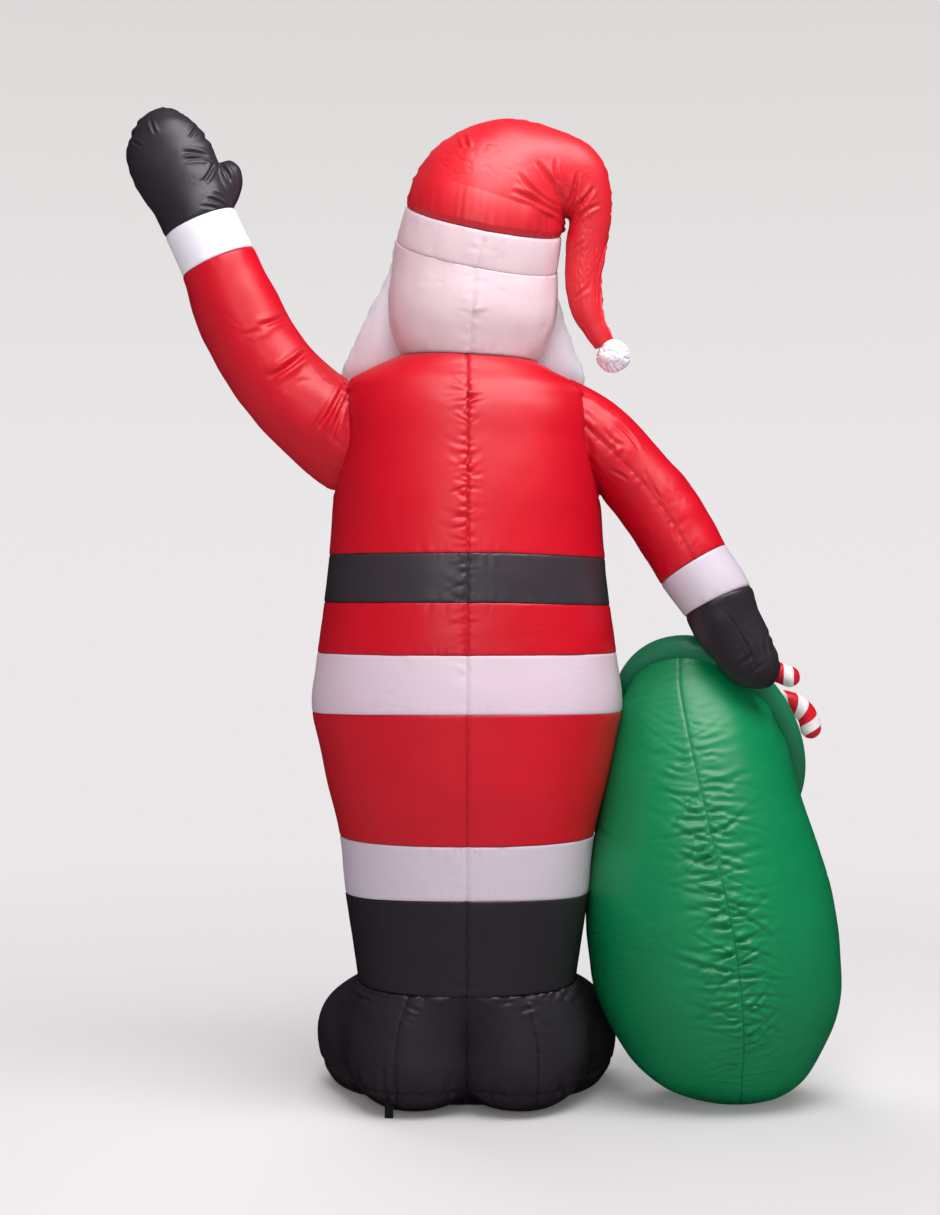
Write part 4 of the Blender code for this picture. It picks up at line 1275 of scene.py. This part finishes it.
@dataclass
class Head:
    """Hair behind, the face in front, and the beard, moustache and nose sewn on."""

    sections: Table = (
        (-20, 160, 140, -6, 0),
        (30, 186, 168, -9, -4),
        (75, 201, 190, -12, -8),
        (130, 205, 198, -14, -8),
        (190, 201, 196, -18, -6),
        (260, 196, 192, -22, -2),
        (330, 190, 186, -24, 0),
    )
    beard: Table = (
        (-392, 36, -398, -330),
        (-372, 84, -412, -300),
        (-325, 142, -422, -260),
        (-250, 202, -414, -190),
        (-165, 254, -388, -120),
        (-85, 290, -352, -70),
        (-38, 300, -326, -38),
        (20, 276, -292, -18),
        (80, 250, -258, -8),
        (150, 226, -234, 0),
        (225, 208, -212, 6),
        (290, 196, -176, 10),
    )
    lobe: Table = (  # half of the moustache: out from the nose, back from its foot, height, half axes
        (-14, -14, 88, 20, 22),
        (12, -18, 90, 30, 32),
        (46, -14, 84, 34, 34),
        (84, 4, 66, 27, 29),
        (112, 28, 58, 15, 17),
        (126, 42, 62, 5, 6),
    )
    window: tuple[float, ...] = (-6, 190, 138, 132)  # the face's middle, half width and half height
    face_y: float = -0.070
    nose_rise: float = 132
    nose_radius: float = 0.030
    power: float = 2.1
    columns: int = 260
    seat: Vector = field(default_factory=lambda: Vector((-0.024, 0, CHIN_Z + 0.236)))
    lean: Vector = field(default_factory=lambda: Vector((-0.20, 0.30, 1.0)).normalized())

    def skull(self, name: str) -> Panel:
        """The whole head, hair and face in one tube."""
        heights = np.linspace(-15, 325, rows_for(0.34))
        half_width, half_depth, x, y = read(self.sections, heights)
        turns = even_turns(self.columns, self.power)
        middles = rows_of(x, y, CHIN_Z + heights * PART)
        points = tube(middles, rows_of(half_width, 0, 0), rows_of(0, half_depth, 0), turns, self.power)
        tilt = 0.045 * np.maximum(0, 1 - (heights + 15) / 105)  # its foot follows the shoulders
        points[..., 2] += tilt[:, None] * points[..., 0] + SEAM_GAP
        return Panel(name, points, turns)

    def front(self, x: Array, z: Array) -> Array:
        """The y of the face's surface at each x and z."""
        half_width, half_depth, middle_x, middle_y = read(self.sections, (z - CHIN_Z) / PART)
        wide = np.clip(np.abs(x - middle_x) / half_width, 0, 0.999)
        return middle_y - half_depth * (1 - wide**self.power) ** (1 / self.power)

    def build(self) -> None:
        """Makes the whole head below the hat."""
        firm = Seam(depth=0.0035, reach=0.014, tuck=0.0034, gap=0.010, length=0.050)
        neck = Seam(depth=0.0014, reach=0.008, tuck=0.0018, gap=0.016, width=0.007)
        # the hair's white carries a painted pink glow of red light
        for name, cloth, keep, seed in (("hair", PINK_GLOW_WHITE, 1, 71), ("face", FACE, -1, 72)):
            panel = self.skull(name)
            if name == "hair":
                strength = varying((0, 0.2, 0.27, 0.34, 0.6), (0.3, 0.6, 1.6, 0.6, 0.3))
                panel.sew_column(BACK, firm, seed, strength)
                panel.rumple(0.0010, 0.09, seed)
            panel.sew_end(neck, False, seed + 1)
            mesh = sliced(panel.mesh(), self.seat - self.lean * SEAM_GAP, -self.lean)
            mesh = sliced(mesh, (0, self.face_y + keep * SEAM_GAP / 2, 0), (0, keep, 0))
            dress(name, mesh, cloth, name)
        self.make_beard()
        self.make_features()

    def make_beard(self) -> None:
        """The beard, dented in the middle to leave room for the face."""
        heights = np.linspace(self.beard[0][0], self.beard[-1][0], rows_for(0.95, 0.006))
        half_width, front, back = read(self.beard, heights)
        half_width += 0.005 * np.clip((heights + 150) / 100, 0, 1) * np.clip((220 - heights) / 90, 0, 1)
        half_width -= 0.016 * np.clip((heights - 130) / 100, 0, 1)
        middle_x = 0.010 - 0.014 * np.clip((heights - 60) / 120, 0, 1)
        middles = rows_of(middle_x, (front + back) / 2, CHIN_Z + heights * PART)
        turns = even_turns(self.columns, 2.3)
        points = tube(middles, rows_of(half_width, 0, 0), rows_of(0, (back - front) / 2, 0), turns, 2.3)
        panel = Panel("beard", points, turns)
        panel.rumple(0.0018, 0.09, 81, (0.7, 0.7, 2.4))
        for turn, seed in ((0, 82), (math.pi, 83)):
            panel.sew_column(turn, Seam(depth=0.003, tuck=0.0030, gap=0.02, length=0.07, width=0.009), seed)
        placed = panel.shaped()
        x, height, half, tall = (value * PART for value in self.window)
        off = np.hypot((placed[..., 0] - x) / half, (placed[..., 2] - CHIN_Z - height) / tall)
        inside = np.clip((1.10 - off) / 0.16, 0, 1)
        deep = self.front(placed[..., 0].ravel(), placed[..., 2].ravel()).reshape(off.shape) + 0.05
        turned = (placed[..., 1] < -0.10) * inside**0.5
        placed[..., 1] += turned * np.maximum(deep - placed[..., 1], 0)
        panel.points, panel.height = placed, np.zeros_like(panel.height)
        mesh = sliced(panel.mesh(), self.seat - self.lean * 2 * SEAM_GAP, -self.lean)
        dress("beard", mesh, WHITE, "beard")

    def make_features(self) -> None:
        """The nose and the moustache."""
        radius, z = self.nose_radius, CHIN_Z + self.nose_rise * PART
        front = float(self.front(np.array([FACE_X]), np.array([z]))[0])
        panel = ball("nose", (FACE_X, front - 0.55 * radius, z), (radius, 1.15 * radius, 1.05 * radius))
        panel.rumple(0.0006, 0.04, 94)
        dress("nose", panel.mesh(), SKIN, "nose")
        lobes = []
        for side in (1, -1):
            rows = tuple((FACE_X / PART + side * x, front / PART + y, *rest) for x, y, *rest in self.lobe)
            lobe = Limb("lobe", rows, (), columns=97)
            panel = lobe.panel("moustache", 0, lobe.wrist)
            panel.rumple(0.0012, 0.05, 90 + side)
            lobes.append(panel.mesh())
        dress("moustache", joined(*lobes), WHITE, "moustache")


@dataclass
class Hat:
    """The red hat that bends over and hangs beside the head, its band and its pompom."""

    head: Head
    folds: Table = (  # the inner side's x and z, the outer side's, half depth and y
        (-222, 285, 156, 355, 192, 0),
        (-238, 300, 134, 424, 186, 4),
        (-240, 312, 82, 497, 172, 8),
        (-240, 320, -2, 549, 152, 12),
        (-240, 323, -100, 569, 128, 16),
        (-241, 322, -203, 548, 106, 20),
        (-242, 318, -292, 508, 86, 24),
        (-241, 308, -336, 455, 72, 28),
        (-238, 294, -352, 392, 62, 30),
        (-232, 260, -354, 326, 54, 30),
        (-229, 214, -342, 254, 47, 30),
        (-233, 150, -331, 176, 43, 30),
        (-250, 85, -335, 98, 38, 30),
        (-282, 37, -346, 60, 30, 30),
        (-309, 8, -354, 32, 22, 30),
    )
    band_height: float = 0.087
    bulge: float = 0.003
    power: float = 2.1
    columns: int = 240

    def axes(self) -> tuple[Array, Array]:
        """Two directions along the band's plane."""
        lean = self.head.lean
        wide = (Vector((1, 0, 0)) - lean * lean.x).normalized()
        return np.array(wide), np.array(lean.cross(wide))

    def build(self) -> None:
        """Makes the band, the hat and the pompom."""
        self.make_band()
        self.make_hat()
        self.make_pompom()

    def make_band(self) -> None:
        """The white band round the head."""
        wide, deep = self.axes()
        shares = np.linspace(0, 1, rows_for(0.10))
        swell = self.bulge * np.sin(math.pi * shares) ** 0.6
        middles = np.array(self.head.seat) + np.outer(shares * self.band_height, np.array(self.head.lean))
        turns = even_turns(self.columns, self.power)
        wides = np.outer((197 - 8 * shares) * PART + swell, wide)
        deeps = np.outer((197 - 6 * shares) * PART + swell, deep)
        panel = Panel("hat_band", tube(middles, wides, deeps, turns, self.power), turns)
        panel.sew_end(Seam(depth=0.0012, reach=0.006, tuck=0.0010, gap=0.02), False, 101)
        panel.sew_end(Seam(depth=0.0012, reach=0.006, tuck=0.0018, gap=0.014, length=0.03), True, 102)
        panel.sew_column(BACK, Seam(depth=0.003), 103, varying((0, 1), (0.6, 0.6)))
        panel.rumple(0.0008, 0.08, 104)
        # the band's white carries a painted pink glow of red light
        dress("hat_band", panel.mesh(), PINK_GLOW_WHITE, "hat_band")

    def make_hat(self) -> None:
        """The hat's red cloth."""
        rows = np.asarray(self.folds, float) * PART
        count, last = rows_for(1.25), len(rows) - 1
        at = np.concatenate([np.linspace(0.9, 8, count * 5 // 8), np.linspace(8, last, count * 3 // 8)[1:]])
        inner_x, inner_z, outer_x, outer_z, half_depth, y = smooth(np.arange(len(rows)), rows, at).T
        inner, outer = rows_of(inner_x, y, inner_z + CHIN_Z), rows_of(outer_x, y, outer_z + CHIN_Z)
        seat = np.array(self.head.seat + self.head.lean * (self.band_height + SEAM_GAP))
        foot = np.linspace(0, 1, 5)
        middles = np.concatenate([seat + np.outer(0.02 * foot, np.array(self.head.lean)), (inner + outer) / 2])
        wide, deep = (np.outer((187 + 5 * foot) * PART, way) for way in self.axes())
        wides = np.concatenate([wide, (outer - inner) / 2])
        deeps = np.concatenate([deep, rows_of(0, half_depth, 0)])
        turns = even_turns(self.columns, self.power)
        panel = Panel("hat", tube(middles, wides, deeps, turns, self.power), turns)
        panel.sew_end(Seam(depth=0.0014, reach=0.007, tuck=0.0030, gap=0.011, length=0.040), False, 111)
        panel.sew_column(0, Seam(depth=0.003, tuck=0.0045, gap=0.014, length=0.050, width=0.006), 112)
        panel.sew_column(math.pi, Seam(depth=0.003, tuck=0.0030), 113)
        panel.crease(HAT_FOLDS)
        panel.rumple(0.0010, 0.11, 114)
        inset = np.clip(panel.up / 0.08, 0, 1) * np.clip((panel.up[-1] - panel.up) / 0.05, 0, 1)
        panel.height -= 0.006 * inset
        # the hat's cloth is the brighter red, whose extra tone is painted sheen
        dress("hat", panel.mesh(), HAT_RED_PAINTED_SHEEN, "hat")

    def make_pompom(self) -> None:
        """The ball of gathered white cloth."""
        low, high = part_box("pompom")
        middle, radius = np.array((low + high) / 2), (high.x - low.x) / 2
        panel = ball("pompom", middle, (radius, radius, radius), 193)
        soft = cloud(panel.points, 0.05, 121)
        panel.height += 0.0016 * soft
        for wave, deep, seed in ((0.050, 0.0060, 122), (0.030, 0.0030, 123)):
            ridge = np.abs(cloud(panel.points + 0.006 * soft[..., None], wave, seed))
            panel.height += deep * (np.clip(ridge / 0.5, 0, 1) ** 0.6 - 1)
        dress("pompom", panel.mesh(), WHITE, "pompom")


# The sack


SACK_FOLDS = (
    Fold((702, 985), (732, 982), 2.6, 0.0050, 1),
    Fold((735, 979), (766, 974), 2.6, 0.0050, 1),
    Fold((700, 950), (728, 946), 2.4, 0.0036, 1),
    Fold((734, 944), (752, 940), 2.4, 0.0036, -1),
    Fold((665, 766), (694, 772), 2.6, 0.0036, 3),
    Fold((662, 790), (700, 794), 2.6, 0.0036, 3),
    Fold((700, 756), (716, 754), 2.4, 0.0030, 1),
    Fold((706, 792), (735, 795), 2.4, 0.0032, -2),
    Fold((772, 690), (786, 740), 5.0, 0.0060, 3),
    Fold((748, 684), (770, 720), 4.0, 0.0030, 2),
    Fold((595, 826), (610, 838), 2.6, 0.0030, 0),
    Fold((624, 700), (652, 690), 3.0, 0.0024, 2),
)


@dataclass
class Sack:
    """The green sack, the roll round its mouth and the striped sweets in it."""

    middle: Vector = field(default_factory=lambda: Vector((-0.600, -0.140, 0.855)))
    long: Vector = field(default_factory=lambda: Vector((0.344, 0.481, 0.808)).normalized())
    short: Vector = field(default_factory=lambda: Vector((0.909, -0.386, -0.159)).normalized())
    half_length: float = 0.291
    half_width: float = 0.202
    rim: float = 0.032
    cane: float = 0.026
    rings: Table = (  # height, middle x and y, half width, half depth, and how far it leans to the mouth
        (0.000, -0.645, -0.012, 0.084, 0.070, 0.0),
        (0.014, -0.640, -0.010, 0.124, 0.108, 0.0),
        (0.050, -0.629, -0.008, 0.182, 0.160, 0.0),
        (0.095, -0.621, -0.006, 0.221, 0.200, 0.0),
        (0.160, -0.616, -0.002, 0.258, 0.240, 0.0),
        (0.255, -0.607, 0.000, 0.294, 0.268, 0.0),
        (0.345, -0.599, 0.000, 0.303, 0.276, 0.02),
        (0.430, -0.591, 0.000, 0.302, 0.276, 0.08),
        (0.520, -0.583, -0.010, 0.292, 0.274, 0.22),
        (0.620, -0.577, -0.035, 0.268, 0.276, 0.42),
        (0.715, -0.575, -0.070, 0.243, 0.282, 0.64),
        (0.792, -0.580, -0.106, 0.224, 0.288, 0.84),
    )
    seam_at: float = math.radians(95)
    dome_rows: int = 46
    columns: int = 245
    cane_cap: int = 12
    upper: Table = (
        (-0.600, -0.150, 0.830),
        (-0.612, -0.135, 0.940),
        (-0.640, -0.125, 1.005),
        (-0.690, -0.122, 1.036),
        (-0.745, -0.120, 1.036),
        (-0.800, -0.118, 1.018),
    )
    hook_foot: Triple = (-0.712, -0.180, 0.700)
    hook_middle: Triple = (-0.790, -0.195, 0.880)
    hook_radius: float = 0.075

    def body(self) -> Panel:
        """The sack's plain shape, closed over its mouth."""
        middles, wides, deeps = [], [], []
        for z, x, y, half_width, half_depth, tilt in self.rings:
            wide = Vector((1, 0, 0)).lerp(self.short, tilt).normalized()
            deep = Vector((0, 1, 0)).lerp(self.long, tilt)
            deep = (deep - wide * deep.dot(wide)).normalized()
            middles.append((x, y, z))
            wides.append(wide * half_width)
            deeps.append(deep * half_depth)
        middles.append(self.middle)
        wides.append(self.short * self.half_width * 0.94)
        deeps.append(self.long * self.half_length)
        middles, wides, deeps = (np.array([tuple(v) for v in rows]) for rows in (middles, wides, deeps))
        steps = np.linalg.norm(np.diff(middles + wides, axis=0), axis=1)
        knots = np.concatenate([[0], np.cumsum(steps)])
        at = np.linspace(0, knots[-1], rows_for(float(knots[-1]), 0.0032))
        middles, wides, deeps = (smooth(knots, rows, at) for rows in (middles, wides, deeps))
        facing = unit(np.cross(np.array(self.long), np.array(self.short)))
        shares = np.linspace(0.98, 0.03, self.dome_rows)[:, None]
        dome = 0.012 * (1 - shares**2)
        middles = np.concatenate([middles, middles[-1] + facing * dome])
        wides = np.concatenate([wides, wides[-1] * shares])
        deeps = np.concatenate([deeps, deeps[-1] * shares])
        turns = even_turns(self.columns, 2.1, (self.seam_at, self.seam_at + math.pi))
        return Panel("sack", tube(middles, wides, deeps, turns, 2.1), turns)

    def build(self) -> None:
        """Makes the sack, its rim and the sweets."""
        panel = self.body()
        level = panel.points[..., 2]
        firm = Seam(depth=0.0016, reach=0.008, tuck=0.0068, gap=0.0064, length=0.165, width=0.0046)
        behind = varying((0, 0.15, 0.28, 0.6, 0.8, 0.9), (0.1, 0.3, 1.0, 1.0, 0.3, 0.1))
        before = varying((0, 0.2, 0.5, 0.7), (0.1, 0.8, 0.8, 0))
        panel.sew_column(self.seam_at, firm, 131, behind)
        panel.sew_column(self.seam_at - math.pi, firm, 132, before)
        panel.rumple(0.0010, 0.15, 133)
        panel.crease(SACK_FOLDS)
        below = panel.up < panel.up[-self.dome_rows]
        panel.height += 0.006 * bell(panel.up[:, :1] - panel.up[-self.dome_rows, 0], 0.05) * below
        panel.height *= np.clip(level / 0.03, 0, 1)
        dress("sack", panel.mesh(), GREEN, "sack")
        self.make_rim()
        self.make_canes()

    def make_rim(self) -> None:
        """The roll of cloth round the mouth."""
        turns = np.linspace(0, 2 * math.pi, 360)
        long, short = np.array(self.long) * self.half_length, np.array(self.short) * self.half_width
        facing = unit(np.cross(long, short))
        place = np.array(self.middle) + np.outer(np.cos(turns), long) + np.outer(np.sin(turns), short)
        along = unit(np.outer(-np.sin(turns), long) + np.outer(np.cos(turns), short))
        out = np.cross(along, facing)
        round_turns = even_turns(49)
        points = tube(place, out * self.rim, np.tile(facing, (len(turns), 1)) * self.rim, round_turns)
        panel = Panel("sack_rim", points, round_turns)
        panel.sew_column(math.pi, Seam(depth=0.002, tuck=0.0055, gap=0.010, length=0.050), 141)
        # the roll's cloth is the lighter green, which is painted light
        dress("sack_rim", self.closed(panel), RIM_GREEN_PAINTED_LIGHT, "sack_rim")

    def closed(self, panel: Panel) -> bpy.types.Mesh:
        """The mesh of a tube that runs round into itself."""
        panel.points[-1], panel.out[-1], panel.height[-1] = panel.points[0], panel.out[0], panel.height[0]
        return panel.mesh()

    def make_canes(self) -> None:
        """Two striped sweets, the lower one hooked."""
        self.make_cane("candy_cane_upper", self.upper)
        turns = np.linspace(0, math.pi - math.radians(4), 9)
        bend = rows_of(np.cos(turns), 0, np.sin(turns)) * self.hook_radius
        hook = tuple(tuple(place) for place in np.array(self.hook_middle) + bend)
        self.make_cane("candy_cane_hooked", (self.hook_foot, *hook))

    def make_cane(self, name: str, line: Table) -> None:
        """One striped sweet along a line, with a round end."""
        rows = np.asarray(line, float)
        steps = np.linalg.norm(np.diff(rows, axis=0), axis=1)
        knots = np.concatenate([[0], np.cumsum(steps)])
        length = float(knots[-1])
        cap = np.linspace(0.05, 0.98, self.cane_cap)
        at = np.concatenate([np.linspace(0, length, rows_for(length, 0.004)), length + self.cane * cap])
        size = np.concatenate([np.ones(len(at) - self.cane_cap), np.sqrt(1 - cap**2)]) * self.cane
        held = np.minimum(at, length)
        along = unit(smooth(knots, rows, np.minimum(held + 1e-3, length)) - smooth(knots, rows, held - 1e-3))
        middles = smooth(knots, rows, held) + along * (at - held)[:, None]
        deep = unit(np.cross(along, np.cross((0, 1, 0), along)))
        across = np.cross(along, deep)
        turns = even_turns(65)
        panel = Panel(name, tube(middles, across * size[:, None], deep * size[:, None], turns), turns)
        fine = Seam(depth=0.002, reach=0.006, tuck=0.0018, gap=0.010, length=0.025, width=0.004)
        panel.sew_column(FRONT, fine, 151)
        panel.rumple(0.0006, 0.04, 152)
        dress(name, panel.mesh(), STRIPES, name)


# The studio


@dataclass
class Studio:
    """A pale floor that runs into a pale backdrop, and soft light from above on the figure's right."""

    floor: Triple = (0.72, 0.70, 0.71)
    backdrop: Triple = (0.83, 0.80, 0.81)
    high_wall: Triple = (0.70, 0.68, 0.675)
    low_air: Triple = (0.15, 0.145, 0.15)
    high_air: Triple = (0.34, 0.33, 0.34)

    def build(self) -> None:
        """Makes the floor, the air and the lights."""
        bpy.context.scene.view_settings.view_transform = "Standard"
        self.make_air()
        self.make_floor()
        self.lamp("key", (-1.0, 1.9, 4.7), (0, 0, 1.4), (3.8, 2.2), 215)
        self.lamp("fill", (-0.6, 5.6, 2.4), (0, 0, 1.2), (3.0, 3.0), 34, shines=False)
        self.lamp("strip", (0.62, 5.0, 2.6), (0.03, 0.2, 1.35), (0.16, 1.3), 26)
        self.lamp("front_key", (1.0, -2.8, 4.6), (0, 0, 1.3), (3.4, 2.2), 130, shines=False)

    def make_air(self) -> None:
        """The light from all round, and the backdrop that the camera sees."""
        world = bpy.data.worlds.new("studio")
        world.use_nodes = True
        nodes, given = Nodes(world.node_tree), world.node_tree.nodes
        up = nodes.add("SeparateXYZ", {"Vector": nodes.add("TexCoord").outputs["Generated"]}).outputs["Z"]
        air = nodes.add("Background", {"Color": nodes.ramp(up, (0.0, self.low_air), (1.0, self.high_air))})
        wall = nodes.ramp(up, (0.0, self.backdrop), (0.35, self.high_wall), "EASE")
        nodes.feed(given["Background"], {"Color": wall})
        seen = nodes.add("LightPath").outputs["Is Camera Ray"]
        mix = {"Fac": seen, 1: air.outputs["Background"], 2: given["Background"].outputs["Background"]}
        nodes.feed(given["World Output"], {"Surface": nodes.add("MixShader", mix).outputs["Shader"]})
        world.cycles_visibility.glossy = False
        bpy.context.scene.world = world

    def make_floor(self) -> None:
        """The floor, which takes on the backdrop's colour far from the figure."""
        shape = bmesh.new()
        bmesh.ops.create_circle(shape, cap_ends=True, segments=96, radius=60)
        mesh = grown("floor", shape)
        floor = bpy.data.objects.new("floor", mesh)
        bpy.context.scene.collection.objects.link(floor)
        material = bpy.data.materials.new("floor")
        material.use_nodes = True
        nodes, given = Nodes(material.node_tree), material.node_tree.nodes
        shader = given["Principled BSDF"]
        nodes.feed(shader, {"Base Color": (*self.floor, 1.0), "Roughness": 0.9, "Specular IOR Level": 0.1})
        far = nodes.add("Emission", {"Color": (*self.backdrop, 1.0)}).outputs["Emission"]
        away = nodes.add("VectorMath", {0: nodes.place()}, operation="LENGTH").outputs["Value"]
        fade = {"Value": away, "From Min": -1.3, "From Max": 5.0}
        share = nodes.add("MapRange", fade, interpolation_type="SMOOTHERSTEP").outputs["Result"]
        mix = nodes.add("MixShader", {"Fac": share, 1: shader.outputs["BSDF"], 2: far})
        nodes.feed(given["Material Output"], {"Surface": mix.outputs["Shader"]})
        mesh.materials.append(material)
        floor.visible_glossy = False

    def lamp(self, name: str, place: Triple, target: Triple, size: Pair, power: float, shines: bool = True) -> None:
        """One soft light that looks at a target; one that doesn't shine leaves no reflection."""
        data = bpy.data.lights.new(name, "AREA")
        data.shape = "RECTANGLE"
        data.size, data.size_y = size
        data.energy = power
        lamp = bpy.data.objects.new(name, data)
        lamp.location = place
        lamp.visible_glossy = shines
        lamp.rotation_euler = (Vector(target) - Vector(place)).to_track_quat("-Z", "Y").to_euler()
        bpy.context.scene.collection.objects.link(lamp)


RIGHT_FOLDS: dict[str, Sequence[Fold]] = {
    "sleeve": (
        Fold((604, 428), (622, 446), 2.2, 0.004, 2),
        Fold((612, 420), (640, 452), 2.2, 0.003, -3),
        Fold((646, 470), (662, 500), 2.2, 0.003, 2),
        Fold((610, 470), (628, 480), 2.0, 0.003, -1),
    ),
    "mitten": (
        Fold((722, 608), (757, 673), 1.6, 0.004, -4),
        Fold((735, 665), (754, 652), 2.2, 0.004, 2),
        Fold((741, 624), (752, 641), 1.8, 0.003, 2),
        Fold((764, 636), (772, 668), 1.8, 0.003, 2),
        Fold((748, 675), (769, 661), 2.0, 0.003, -1),
    ),
}
HAT_FOLDS: Sequence[Fold] = (
    Fold((562, 216), (512, 190), 3.0, 0.006, 3),
    Fold((561, 208), (520, 172), 2.6, 0.005, -3),
    Fold((562, 204), (538, 160), 2.6, 0.005, 2),
    Fold((564, 202), (556, 158), 2.4, 0.004, -2),
    Fold((558, 220), (505, 212), 3.0, 0.005, 3),
    Fold((552, 222), (515, 226), 2.4, 0.003, 0),
    Fold((568, 208), (578, 172), 2.6, 0.005, 2),
    Fold((570, 212), (596, 186), 2.6, 0.005, 2),
    Fold((571, 222), (603, 204), 2.4, 0.004, -2),
    Fold((463, 131), (468, 146), 2.2, 0.010, 1),
    Fold((566, 250), (586, 240), 2.2, 0.003, 1),
    Fold((572, 300), (592, 286), 2.2, 0.003, -1),
)
LEFT_FOLDS: dict[str, Sequence[Fold]] = {
    "sleeve": (
        Fold((268, 378), (308, 350), 3.5, 0.010, 2),
        Fold((256, 326), (292, 314), 3.0, 0.006, 1),
        Fold((240, 336), (276, 322), 3.5, 0.003, 2),
        Fold((318, 430), (344, 384), 3.0, 0.008, 2),
        Fold((330, 440), (345, 395), 2.5, 0.005, 1),
    ),
    "mitten": (
        Fold((182, 152), (210, 158), 2.4, 0.004, -2),
        Fold((184, 160), (214, 161), 2.0, 0.003, -2),
        Fold((203, 182), (214, 163), 2.2, 0.0045, 1),
        Fold((219, 164), (231, 182), 2.2, 0.005, -2),
        Fold((206, 198), (228, 209), 2.2, 0.004, -2),
        Fold((212, 192), (232, 206), 1.8, 0.003, -2),
        Fold((200, 206), (222, 210), 1.8, 0.0025, -1),
        Fold((150, 118), (156, 134), 1.8, 0.003, 1),
        Fold((131, 140), (142, 147), 1.8, 0.003, 0),
        Fold((197, 126), (189, 138), 1.8, 0.003, 0),
    ),
}


def main() -> None:
    """Builds every part of the figure in order."""
    logging.basicConfig(level=logging.INFO, format="%(message)s")
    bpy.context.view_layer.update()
    VIEW.make()
    Studio().build()
    torso = Torso()
    left = Limb("left", LEFT_ARM, LEFT_HAND)
    right = Limb("right", RIGHT_ARM, RIGHT_HAND)
    torso.build((left, right))
    Boots().build(torso)
    left.build(torso, LEFT_FOLDS)
    right.build(torso, RIGHT_FOLDS)
    head = Head()
    head.build()
    Hat(head).build()
    Sack().build()


if __name__ == "__main__":
    main()
